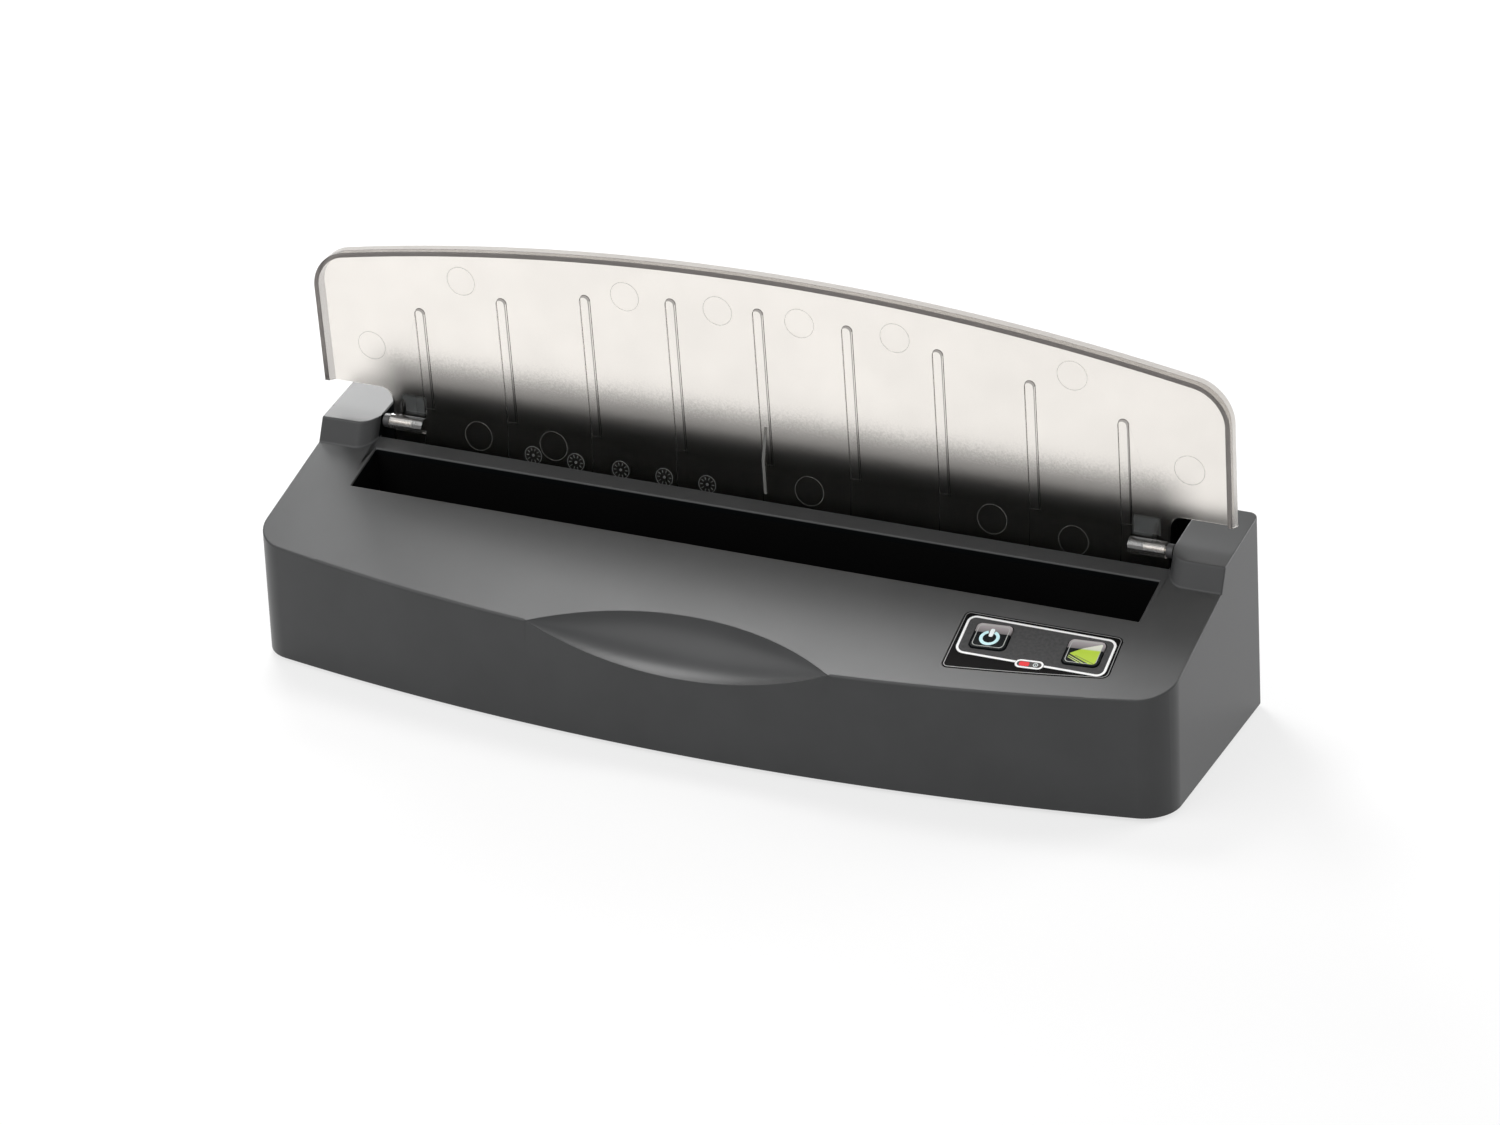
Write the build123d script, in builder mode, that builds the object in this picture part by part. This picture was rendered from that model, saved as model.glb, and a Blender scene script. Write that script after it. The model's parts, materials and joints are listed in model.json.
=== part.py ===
from build123d import *
import os
from math import cos, radians, sin, sqrt, tan

# Desktop thermal binding machine, drawn with its lid standing open.
# +X runs to the right, +Y to the back, +Z up. The origin is the middle of the
# footprint, on the surface that the feet stand on. Millimetres and degrees.

# ---------------------------------------------------------------- casing sizes
wall = 2.4
side_draft = 0.6              # what each side loses over the body height
rear_draft = 0.9
front_draft = 1.65
bow_radius = 950.0
front_corner_radius = 11.0
rear_corner_radius = 3.5
least_corner = 0.8            # smallest inside corner that is moulded

slope_angle = 16.3
slot_setback = 51.5           # lower front edge to the slot's front edge
slot_front_height = 56.0      # slope above the housing's lower edge, at the slot
slot_length = 310.0           # takes an A4 spine in its cover
slot_width = 20.0
slot_end_margin = 24.0        # slot's end to the casing's side, at the lower edge
strip_width = 6.4             # slope left between the slot and the hinge trough
trough_depth = 27.9           # front to back
trough_floor_gap = 1.9        # under the swing of the lid's tail
trough_rear_wall = 1.9        # at the rear top edge
block_gap = 1.6               # from the slot's end to the hinge block
block_lead = 1.6              # foot of the block's face, before the slot's rear edge
block_rise = 3.04             # hinge axis to the blocks' top
block_lean = 25.0             # block's face, back from the vertical
block_top_angle = 8.4
block_corner_radius = 7.5

scoop_half_width = 58.7       # finger scoop in the front ridge
scoop_reach = 17.7            # back along the slope
scoop_drop = 10.7             # down the front wall
scoop_turn = 66.0             # the hollow's section turns through this angle
scoop_section_count = 11

base_thickness = 2.4
base_clearance = 0.3
foot_radius = 7.0
foot_height = 1.6
foot_side_inset = 21.0        # from the casing's sides, front and rear
foot_front_inset = 26.3
foot_rear_inset = 21.3

# ------------------------------------------------------------------- lid sizes
hinge_setback = 4.6           # trough's front edge to the hinge axis
hinge_rise = 3.0              # above the plane of the slope
lid_open = 104.0              # from closed on the slope
lid_front_inset = 1.2         # lid's front edge behind the front ridge, when shut
lid_plate = 1.8
lid_depth = 6.5               # outer face to the end of the rim
lid_rim = 1.85
lid_seat_gap = 0.4            # rim to slope, when the lid is closed
lid_corner_radius = 13.0
lid_edge_radius = 1.2
lid_notch_height = 12.0       # hinge axis to the lower edge beside the notch
lid_notch_lean = 20.0
lid_notch_gap = 3.0           # tail's side edge to the hinge block
lid_notch_radius = 5.0
tail_gap = 0.5                # swing of the tail's end to the trough's rear wall
tail_end_radius = 0.8
rib_end_margin = 15.6         # outer ribs to the side edges of the tail
rib_count = 9
rib_width = 3.8
rib_height = 1.2
rib_top = 69.2                # of the middle rib, above the hinge axis
rib_bow_radius = 460.0
fin_thickness = 1.2
fin_top = 22.0                # along the plate, above the hinge axis
fin_shoulder = 10.5
fin_foot = 3.0                # below the hinge axis
fin_rise = 2.0                # in front of the hinge axis
barrel_radius = 3.0
barrel_length = 14.0
gusset_thickness = 1.5
gusset_inset = 4.5            # barrel's outer end to the gusset
pin_radius = 1.25
pin_length = 20.0
pin_engagement = 8.6          # length of pin inside the lid's barrel
pin_play = 0.05               # running fit, radial
seat_play = 0.03              # held fit, radial
boss_wall = 2.75
washer_radius = 2.6
part_gap = 0.3                # between pieces that move past each other
stop_width = 6.0
stop_rib = 2                  # rib, counted from the middle one, that meets a stop
stop_start = 12.0             # hinge axis to the stop, down the tail
stop_height = 7.0
gusset_reach = 9.0
gusset_rise = 1.5

# --------------------------------------------------------- control panel sizes
panel_side_inset = 25.8       # panel's back right corner to the casing's side
panel_length = 58.9
panel_back = 9.0              # in front of the slot's front edge, along the slope
panel_front_margin = 10.4     # from the front ridge
panel_turn = 4.0              # sides of the panel and keys lean with the bow
panel_thickness = 0.8
panel_corner_radius = 2.4
power_inset = 13.4            # from the panel's left end
start_inset = 11.0            # from the panel's right end
key_back = 19.5               # middle of the keys, in front of the slot edge
key_width = 13.2
key_depth = 12.2
key_corner_radius = 1.4
key_proud = 0.5
key_travel = 0.6
key_flange = 1.0
key_stem_radius = 2.0
key_flange_thickness = 1.0
key_stop_gap = 0.15           # flange to the skin above it, at rest
lens_inset = 31.3             # from the panel's left end
lens_back = 29.0
lens_length = 10.3
lens_width = 4.0
lens_play = 0.1
lens_flange = 0.6
lens_flange_thickness = 1.0
panel_seat_gap = 0.1

board_drop = 10.0             # slope surface to the board's upper face
board_thickness = 1.6
board_margin = 1.2            # board beyond the panel at its ends
board_back = 8.6
board_depth = 26.0
board_corner_radius = 1.0
board_boss_radius = 2.3
board_boss_inset = 3.0
switch_side = 6.0
switch_height = 3.5
plunger_radius = 1.75
plunger_seat = 2.2            # plunger's length inside the switch
plunger_rise = 1.5            # plunger above the switch, at rest
plunger_play = 0.1
led_radius = 1.5
led_height = 5.0
led_flange = 0.4

# ------------------------------------------------------------------- screws
screw_radius = 1.45
screw_play = 0.05
screw_head_radius = 2.8
screw_head_height = 1.6
screw_hole_play = 0.25        # shank through the piece that is clamped
screw_bite = 7.0
small_screw_radius = 1.0
small_head_radius = 1.9
small_head_height = 1.2
small_screw_bite = 4.0
boss_radius = 3.5
head_play = 0.3
base_pad = 1.8                # base plate's pads above its floor

front_screw_side = 44.0       # casing screws, from its sides, front and rear
front_screw_inset = 7.7
rear_screw_side = 29.0
rear_screw_inset = 11.3
middle_front_inset = 19.3
middle_rear_inset = 14.3

# ------------------------------------------------------------- heater and well
liner_wall = 1.6
liner_rise = 13.0             # housing's lower edge to the liner's foot
liner_ear = 11.0
liner_ear_thickness = 2.0
liner_screw_out = 7.0         # from the liner's end wall
heater_rise = 19.0            # housing's lower edge to the hot face
heater_thickness = 3.0
heater_gap = 0.5
element_thickness = 1.2
element_inset = 8.0
element_margin = 2.0
insulator_thickness = 0.6
clamp_thickness = 1.0
clamp_screw_pitch = 80.0
clamp_screw_count = 4
clamp_screw_bite = 2.2
bracket_thickness = 1.2
bracket_width = 12.0
bracket_foot = 14.0
bracket_tab = 7.0
thermostat_radius = 7.2
thermostat_cap_radius = 8.0
thermostat_height = 7.0
thermostat_cap = 1.8
thermostat_x = -60.0
terminal_width = 6.3
terminal_thickness = 0.8
terminal_length = 9.0
fuse_link_radius = 2.0
fuse_link_length = 12.0
fuse_link_x = 80.0
fuse_lead_radius = 0.5
fuse_lead_length = 14.0
fuse_clip_width = 4.0
fuse_clip_thickness = 0.8
fuse_clip_pad = 8.0

# ------------------------------------------------------------- power board
power_board_length = 90.0
power_board_depth = 27.0
power_board_side = 24.0       # casing's left side to the board's end
power_board_rise = 5.0        # base plate's floor to the board's underside
power_board_gap = 1.4         # to the liner's front wall
power_boss_inset = 4.0
transformer_size = (28.0, 17.0, 22.0)
transformer_flange = 1.5
transformer_place = 22.0      # from the board's left end
relay_size = (19.0, 15.4, 15.2)
relay_place = 48.0
capacitor_radius = 6.5
capacitor_height = 20.0
capacitor_place = 66.0
terminal_block_size = (10.0, 16.0, 10.0)
terminal_block_place = 79.0
terminal_screw_radius = 1.6
terminal_screw_depth = 1.2
buzzer_radius = 4.5
buzzer_height = 7.5
buzzer_hole = 1.0
buzzer_depth = 1.0

# ------------------------------------------------------------- mains inlet
inlet_side = 61.0             # from the casing's right side
inlet_height = 17.0           # above the housing's lower edge
inlet_width = 20.0
inlet_tall = 12.6
inlet_depth = 17.0
inlet_corner = 3.0
inlet_recess_width = 15.2
inlet_recess_tall = 8.2
inlet_recess_depth = 12.0
inlet_flange = 2.2
inlet_flange_thickness = 2.0
inlet_play = 0.15
inlet_pin_radius = 1.2
inlet_pin_pitch = 8.6
inlet_pin_length = 9.5
inlet_tag_length = 6.0

vent_count = 9
vent_pitch = 30.0
vent_length = 18.0
vent_width = 3.0
reach = 400.0                 # longer than the machine, for through cuts


# ---------------------------------------------------------- places worked out
half_width = slot_length / 2 + slot_end_margin
body_depth = (
    slot_setback
    + slot_width
    + strip_width
    + trough_depth
    + trough_rear_wall
    + rear_draft
)
casing_bottom = foot_height
body_front = -body_depth / 2
body_rear = body_depth / 2
slot_front = body_front + slot_setback
slot_back = slot_front + slot_width
slot_middle = (slot_front + slot_back) / 2
slot_end = slot_length / 2
trough_front = slot_back + strip_width
trough_rear = trough_front + trough_depth
block_inner = slot_end + block_gap
slope_run = tan(radians(slope_angle))
slope_sin = sin(radians(slope_angle))
slope_cos = cos(radians(slope_angle))
block_run = tan(radians(block_top_angle))
slot_front_z = casing_bottom + slot_front_height


def slope_z(y):
    """Height of the slope's surface at a depth y."""
    return slot_front_z + (y - slot_front) * slope_run


hinge_y = trough_front + hinge_setback
hinge_z = slope_z(hinge_y) + hinge_rise / slope_cos
tail_reach = trough_depth - hinge_setback - tail_gap
trough_floor = hinge_z - tail_reach - trough_floor_gap


def block_top_z(y):
    """Height of the hinge blocks' top at a depth y."""
    return hinge_z + block_rise / cos(radians(block_top_angle)) + (y - hinge_y) * block_run


casing_top = block_top_z(body_rear - rear_draft)
body_height = casing_top - casing_bottom
block_foot = (slot_back - block_lead, slope_z(slot_back - block_lead))
block_face = (
    (block_top_z(block_foot[0]) - block_foot[1])
    / (cos(radians(block_lean)) - sin(radians(block_lean)) * block_run)
)
block_brow = (
    block_foot[0] + block_face * sin(radians(block_lean)),
    block_foot[1] + block_face * cos(radians(block_lean)),
)


def bow(x, radius=bow_radius):
    """How far the bowed front has fallen back at x."""
    return radius - sqrt(radius**2 - x**2)


front_lean = front_draft / body_height
ridge_y = (
    (body_front + front_lean * (slot_front_height - slot_front * slope_run))
    / (1 - front_lean * slope_run)
)
ridge_z = slope_z(ridge_y)


def plan_outline(z, inset):
    """Plan of the casing at a height z, drawn in by an inset."""
    share = (z - casing_bottom) / body_height
    side = half_width - side_draft * share - inset
    rear = body_rear - rear_draft * share - inset
    front = body_front + front_draft * share + inset
    corner_y = front + bow(side, bow_radius - inset)
    with BuildSketch(Plane.XY.offset(z)) as outline:
        with BuildLine():
            Polyline((-side, corner_y), (-side, rear), (side, rear), (side, corner_y))
            ThreePointArc((side, corner_y), (0, front), (-side, corner_y))
        make_face()
        corners = outline.vertices().sort_by(Axis.Y)
        fillet(corners[:2], max(front_corner_radius - inset, least_corner))
        corners = outline.vertices().sort_by(Axis.Y)
        fillet(corners[-2:], max(rear_corner_radius - inset, least_corner))
    return outline.sketch


def above_casing(drop):
    """Section of all that lies over the casing's tops, lowered by a wall."""
    slope_drop = drop / slope_cos
    top_drop = drop / cos(radians(block_top_angle))
    face_back = drop / cos(radians(block_lean))
    foot_y = block_foot[0] + face_back
    brow = (block_brow[0] + face_back, block_top_z(block_brow[0] + face_back) - top_drop)
    with BuildSketch(Plane.YZ.offset(-reach)) as section:
        with BuildLine():
            Polyline(
                (-reach, slope_z(-reach) - slope_drop),
                (foot_y, slope_z(foot_y) - slope_drop),
                brow,
                (reach, block_top_z(reach) - top_drop),
                (reach, reach),
                (-reach, reach),
                close=True,
            )
        make_face()
    return section.sketch


def over_slope(drop, rear):
    """Section of the field between the hinge blocks, over the slope."""
    lowered = drop / slope_cos
    front = body_front - wall
    with BuildSketch(Plane.YZ.offset(-block_inner - drop)) as section:
        with BuildLine():
            Polyline(
                (front, slope_z(front) - lowered),
                (rear, slope_z(rear) - lowered),
                (rear, reach),
                (front, reach),
                close=True,
            )
        make_face()
    return section.sketch


def block_corners(piece, inner):
    """The leaning edges where the blocks' faces meet their inner sides."""
    lean = cos(radians(block_lean))
    return [
        edge
        for edge in piece.edges().filter_by(GeomType.LINE)
        if abs(abs(edge.center().X) - inner) < least_corner
        and abs(abs(edge.tangent_at(0).Z) - lean) < radians(1)
    ]


# ------------------------------------------------------------ frames and axes
# On the slope: local x to the right, local y back up the slope, local z out.
panel_frame = Plane(
    origin=(0, slot_front, slot_front_z),
    x_dir=(1, 0, 0),
    z_dir=(0, -slope_sin, slope_cos),
)
lid_lean = radians(lid_open - slope_angle - 90)
# On the lid: local x to the right, local y from the axis up the plate, local z
# to the lid's inner side.
lid_frame = Plane(
    origin=(0, hinge_y, hinge_z),
    x_dir=(1, 0, 0),
    z_dir=(0, -cos(lid_lean), sin(lid_lean)),
)
# Across the lid: local x up the plate, local y to its inner side, local z right.
lid_section = Plane(origin=lid_frame.origin, x_dir=lid_frame.y_dir, z_dir=(1, 0, 0))
rim_end = hinge_rise - lid_seat_gap
lid_outer = rim_end - lid_depth
lid_inner = lid_outer + lid_plate
tail_half = block_inner - lid_notch_gap
rib_pitch = 2 * (tail_half - rib_end_margin) / (rib_count - 1)
lid_reach = (hinge_y - ridge_y) / slope_cos - lid_front_inset

tail_fall = radians(slope_angle - block_top_angle)


def tail_point(along, rise):
    """Point of the tail in the lid's section: back from the axis, and outward."""
    return (
        -along * cos(tail_fall) - rise * sin(tail_fall),
        along * sin(tail_fall) - rise * cos(tail_fall),
    )


def tail_kink(plate_face, rise):
    """Where a face of the plate meets the same face of the tail."""
    return (-(plate_face * cos(tail_fall) + rise) / sin(tail_fall), plate_face)


def key_place(x, back, height=0.0):
    """Frame of a key or lens on the slope."""
    return panel_frame.offset(height).location * Location((x, -back, 0), (0, 0, panel_turn))


lid_foot = tail_kink(lid_outer, block_rise)[0]

# The scoop's hollow: circles across the ridge that shrink towards its two tips.
scoop_back = (scoop_reach * slope_cos, scoop_reach * slope_sin)
scoop_front = (-scoop_drop * front_lean, -scoop_drop)
scoop_run = (scoop_back[0] - scoop_front[0], scoop_back[1] - scoop_front[1])
scoop_chord = sqrt(scoop_run[0] ** 2 + scoop_run[1] ** 2)
scoop_radius = scoop_chord / 2 / sin(radians(scoop_turn / 2))
scoop_rise = scoop_radius * cos(radians(scoop_turn / 2)) / scoop_chord
scoop_centre = (
    (scoop_back[0] + scoop_front[0]) / 2 - scoop_run[1] * scoop_rise,
    (scoop_back[1] + scoop_front[1]) / 2 + scoop_run[0] * scoop_rise,
)
scoop_bow_radius = (scoop_half_width**2 + scoop_reach**2) / (2 * scoop_reach)


def scoop_share(x):
    """Size of the scoop's section at x, as a share of the middle one."""
    return max(1 - bow(x, scoop_bow_radius) / scoop_reach, 0)


def scoop_tool(spare=0.0):
    """The solid that hollows out the scoop, grown by a wall for the inside."""
    least = max(spare, seat_play)
    end = scoop_half_width + spare
    sections = []
    for index in range(scoop_section_count):
        x = end * (2 * index / (scoop_section_count - 1) - 1)
        share = scoop_share(min(abs(x), scoop_half_width))
        centre_y = ridge_y + bow(x) + share * scoop_centre[0]
        centre_z = ridge_z + bow(x) * slope_run + share * scoop_centre[1]
        with BuildSketch(Plane.YZ.offset(x)) as section:
            with Locations((centre_y, centre_z)):
                Circle(share * scoop_radius + least)
        sections.append(section.sketch)
    return loft(sections)


base_floor = casing_bottom + base_thickness
pad_top = base_floor + base_pad
liner_foot = casing_bottom + liner_rise
hot_face = casing_bottom + heater_rise
heater_foot = hot_face - heater_thickness
element_foot = heater_foot - element_thickness
insulator_foot = element_foot - insulator_thickness
clamp_foot = insulator_foot - clamp_thickness
liner_outer_end = slot_end + liner_wall
liner_screw_x = liner_outer_end + liner_screw_out

front_screw_x = half_width - front_screw_side
front_screw_y = body_front + bow(front_screw_x) + front_screw_inset
rear_screw_x = half_width - rear_screw_side
rear_screw_y = body_rear - rear_screw_inset
base_screw_places = [
    (front_screw_x, front_screw_y),
    (-front_screw_x, front_screw_y),
    (rear_screw_x, rear_screw_y),
    (-rear_screw_x, rear_screw_y),
    (0, body_front + middle_front_inset),
    (0, body_rear - middle_rear_inset),
]
liner_screw_places = [(-liner_screw_x, slot_middle), (liner_screw_x, slot_middle)]
foot_places = [
    (side * (half_width - foot_side_inset), y)
    for side in (-1, 1)
    for y in (body_front + foot_front_inset, body_rear - foot_rear_inset)
]

panel_right = half_width - panel_side_inset
panel_left = panel_right - panel_length
power_x = panel_left + power_inset
start_x = panel_right - start_inset
lens_x = panel_left + lens_inset
board_left = panel_left - board_margin
board_right = panel_right + board_margin + panel_front_margin * sin(radians(panel_turn))
board_middle = (board_left + board_right) / 2
board_length = board_right - board_left
board_centre_y = -board_back - board_depth / 2
board_screw_places = [
    (
        board_middle + side * (board_length / 2 - board_boss_inset),
        board_centre_y + end * (board_depth / 2 - board_boss_inset),
    )
    for side in (-1, 1)
    for end in (-1, 1)
]
board_under = -board_drop - board_thickness

power_board_left = -half_width + power_board_side
power_board_x = power_board_left + power_board_length / 2
power_board_back = slot_front - liner_wall - power_board_gap
power_board_y = power_board_back - power_board_depth / 2
power_board_foot = base_floor + power_board_rise
power_board_top = power_board_foot + board_thickness
power_screw_places = [
    (
        power_board_x + side * (power_board_length / 2 - power_boss_inset),
        power_board_y + end * (power_board_depth / 2 - power_boss_inset),
    )
    for side in (-1, 1)
    for end in (-1, 1)
]
inlet_x = half_width - inlet_side
inlet_z = casing_bottom + inlet_height
inlet_face = body_rear - rear_draft * (inlet_height + inlet_tall / 2) / body_height
inlet_plane = Plane(origin=(inlet_x, inlet_face, inlet_z), x_dir=(-1, 0, 0), z_dir=(0, 1, 0))


def finish(piece, name):
    """Label a finished piece and write it to its own file."""
    piece.part.label = name
    export_step(piece.part, f"parts/{name}.step")


os.makedirs("parts", exist_ok=True)

# ================================================================== casing
scoop_hollow = scoop_tool()
scoop_hollow_inside = scoop_tool(wall)

# The hollow inside the housing: walls, ceiling and bosses are what it leaves.
with BuildPart() as cavity:
    loft([plan_outline(casing_bottom, wall), plan_outline(casing_top, wall)], ruled=True)
    extrude(above_casing(wall), amount=2 * reach, mode=Mode.SUBTRACT)
    extrude(over_slope(wall, body_rear), amount=2 * (block_inner + wall), mode=Mode.SUBTRACT)
    corner_radius = max(block_corner_radius - wall, least_corner)
    fillet(block_corners(cavity, block_inner + wall), corner_radius)
    with Locations((0, (trough_front - wall + body_rear) / 2, trough_floor - wall)):
        Box(
            2 * (block_inner + wall),
            body_rear - trough_front + wall,
            reach,
            align=(Align.CENTER, Align.CENTER, Align.MIN),
            mode=Mode.SUBTRACT,
        )
    add(scoop_hollow_inside, mode=Mode.SUBTRACT)
    with BuildSketch(Plane.XY.offset(pad_top)):
        with Locations(*base_screw_places):
            Circle(boss_radius)
    extrude(amount=reach, mode=Mode.SUBTRACT)
    with BuildSketch(Plane.XY.offset(liner_foot + liner_ear_thickness)):
        with Locations(*liner_screw_places):
            Circle(boss_radius)
    extrude(amount=reach, mode=Mode.SUBTRACT)
    with BuildSketch(panel_frame.offset(-board_drop)):
        with Locations(*board_screw_places):
            Circle(board_boss_radius)
    extrude(amount=board_drop, mode=Mode.SUBTRACT)
    for side in (-1, 1):
        with BuildSketch(Plane.YZ.offset(side * block_inner)):
            with Locations((hinge_y, hinge_z)):
                Circle(pin_radius + boss_wall)
        extrude(amount=side * pin_length / 2, mode=Mode.SUBTRACT)


def key_outline(x, back, spare=0.0):
    """Rounded outline of a key, or of its hole when it is given a clearance."""
    with BuildSketch(Plane(key_place(x, back))) as outline:
        RectangleRounded(
            key_width + 2 * spare, key_depth + 2 * spare, key_corner_radius + spare
        )
    return outline.sketch


def lens_outline(spare=0.0):
    """Stadium outline of the indicator lens, or of its hole."""
    with BuildSketch(Plane(key_place(lens_x, lens_back))) as outline:
        SlotOverall(lens_length + 2 * spare, lens_width + 2 * spare)
    return outline.sketch


def panel_edge(x):
    """Front edge of the panel on the slope, a margin behind the bowed ridge."""
    return (ridge_y + bow(x) - slot_front) / slope_cos + panel_front_margin


def panel_outline(spare=0.0):
    """Outline of the panel's cover sheet on the slope."""
    front_shift = (panel_front_margin + panel_back) * tan(radians(panel_turn))
    front_left = panel_left + front_shift
    front_right = panel_right + front_shift
    middle = (front_left + front_right) / 2
    with BuildSketch(panel_frame) as outline:
        with BuildLine():
            Polyline(
                (front_left, panel_edge(front_left)),
                (panel_left, -panel_back),
                (panel_right, -panel_back),
                (front_right, panel_edge(front_right)),
            )
            ThreePointArc(
                (front_right, panel_edge(front_right)),
                (middle, panel_edge(middle)),
                (front_left, panel_edge(front_left)),
            )
        make_face()
        fillet(outline.vertices(), panel_corner_radius)
        offset(amount=spare)
    return outline.sketch


keys = {"power": power_x, "start": start_x}
key_holes = [key_outline(x, key_back, part_gap) for x in keys.values()]
key_holes.append(lens_outline(lens_play))

with BuildPart() as upper_housing:
    loft([plan_outline(casing_bottom, 0), plan_outline(casing_top, 0)], ruled=True)
    extrude(above_casing(0), amount=2 * reach, mode=Mode.SUBTRACT)
    # The field between the hinge blocks, over the slope, and the trough behind it.
    extrude(over_slope(0, trough_rear), amount=2 * block_inner, mode=Mode.SUBTRACT)
    fillet(block_corners(upper_housing, block_inner), block_corner_radius)
    with Locations((0, (trough_front + trough_rear) / 2, trough_floor)):
        Box(
            2 * block_inner,
            trough_rear - trough_front,
            reach,
            align=(Align.CENTER, Align.CENTER, Align.MIN),
            mode=Mode.SUBTRACT,
        )
    add(scoop_hollow, mode=Mode.SUBTRACT)
    add(cavity.part, mode=Mode.SUBTRACT)
    # The slot over the well.
    with BuildSketch(Plane.XY.offset(slot_front_z - wall * 2)):
        with Locations((0, slot_middle)):
            Rectangle(slot_length, slot_width)
    extrude(amount=reach, mode=Mode.SUBTRACT)
    # The panel's seat, and the openings in it.
    extrude(panel_outline(panel_seat_gap), amount=-panel_thickness, mode=Mode.SUBTRACT)
    for hole in key_holes:
        extrude(hole, amount=-board_drop / 2, mode=Mode.SUBTRACT)
    # Stops in the trough that meet the tail's ribs when the lid stands open.
    stop_face = block_rise - lid_plate - rib_height - part_gap
    stop_root = (hinge_y - trough_front + wall / 2) / cos(lid_lean)
    for side in (-1, 1):
        with BuildSketch(lid_section.offset(side * stop_rib * rib_pitch)):
            with BuildLine():
                Polyline(
                    tail_point(stop_start, stop_face),
                    tail_point(stop_start + stop_height, stop_face),
                    (tail_point(stop_start + stop_height, stop_face)[0], stop_root),
                    (tail_point(stop_start, stop_face)[0], stop_root),
                    close=True,
                )
            make_face()
        extrude(amount=stop_width / 2, both=True)
    # Holes for the hinge pins.
    for side in (-1, 1):
        with BuildSketch(Plane.YZ.offset(side * block_inner)):
            with Locations((hinge_y, hinge_z)):
                Circle(pin_radius + seat_play)
        extrude(amount=side * (pin_length / 2 - pin_radius), mode=Mode.SUBTRACT)
    # Screw holes in the bosses.
    with BuildSketch(Plane.XY.offset(pad_top)):
        with Locations(*base_screw_places):
            Circle(screw_radius + screw_play)
    extrude(amount=screw_bite + wall / 2, mode=Mode.SUBTRACT)
    with BuildSketch(Plane.XY.offset(liner_foot + liner_ear_thickness)):
        with Locations(*liner_screw_places):
            Circle(screw_radius + screw_play)
    extrude(amount=screw_bite + wall / 2, mode=Mode.SUBTRACT)
    with BuildSketch(panel_frame.offset(-board_drop)):
        with Locations(*board_screw_places):
            Circle(small_screw_radius + screw_play)
    extrude(amount=small_screw_bite + wall / 4, mode=Mode.SUBTRACT)
    # The mains inlet's opening in the rear wall.
    with BuildSketch(inlet_plane):
        RectangleRounded(
            inlet_width + 2 * inlet_play, inlet_tall + 2 * inlet_play, inlet_corner
        )
    extrude(amount=2 * wall, both=True, mode=Mode.SUBTRACT)
finish(upper_housing, "upper_housing")

bracket_screw_x = slot_end - heater_gap - bracket_tab + bracket_thickness - bracket_foot / 2
bracket_screw_places = [(-bracket_screw_x, slot_middle), (bracket_screw_x, slot_middle)]
low_screw_places = power_screw_places + bracket_screw_places

with BuildPart() as base_plate:
    extrude(plan_outline(casing_bottom, wall + base_clearance), amount=base_thickness)
    with BuildSketch(Plane.XY.offset(base_floor)):
        with Locations(*base_screw_places):
            Circle(boss_radius)
    extrude(amount=base_pad)
    with BuildSketch(Plane.XY.offset(base_floor)):
        with Locations(*low_screw_places):
            Circle(boss_radius)
    extrude(amount=power_board_rise)
    with BuildSketch(Plane.XY.offset(power_board_foot)):
        with Locations(*low_screw_places):
            Circle(small_screw_radius + screw_play)
    extrude(amount=-small_screw_bite - wall / 4, mode=Mode.SUBTRACT)
    with BuildSketch(Plane.XY.offset(casing_bottom)):
        with Locations(*base_screw_places):
            Circle(screw_radius + screw_hole_play)
    extrude(amount=reach, mode=Mode.SUBTRACT)
    with BuildSketch(Plane.XY.offset(casing_bottom)):
        with Locations(*base_screw_places):
            Circle(screw_head_radius + head_play)
    extrude(amount=pad_top - casing_bottom - wall, mode=Mode.SUBTRACT)
    with BuildSketch(Plane.XY.offset(casing_bottom)):
        with Locations((0, slot_middle)):
            with GridLocations(vent_pitch, 1, vent_count, 1):
                SlotOverall(vent_length, vent_width)
    extrude(amount=base_thickness, mode=Mode.SUBTRACT)
finish(base_plate, "base_plate")

with BuildPart() as rubber_feet:
    with BuildSketch(Plane.XY):
        with Locations(*foot_places):
            Circle(foot_radius)
    extrude(amount=foot_height)
    chamfer(rubber_feet.edges().group_by(Axis.Z)[0], foot_height / 4)
finish(rubber_feet, "rubber_feet")

with BuildPart() as base_screws:
    with BuildSketch(Plane.XY.offset(pad_top - wall)):
        with Locations(*base_screw_places):
            Circle(screw_head_radius)
    extrude(amount=-screw_head_height)
    with BuildSketch(Plane.XY.offset(pad_top - wall)):
        with Locations(*base_screw_places):
            Circle(screw_radius)
    extrude(amount=wall + screw_bite)
finish(base_screws, "base_screws")

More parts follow.
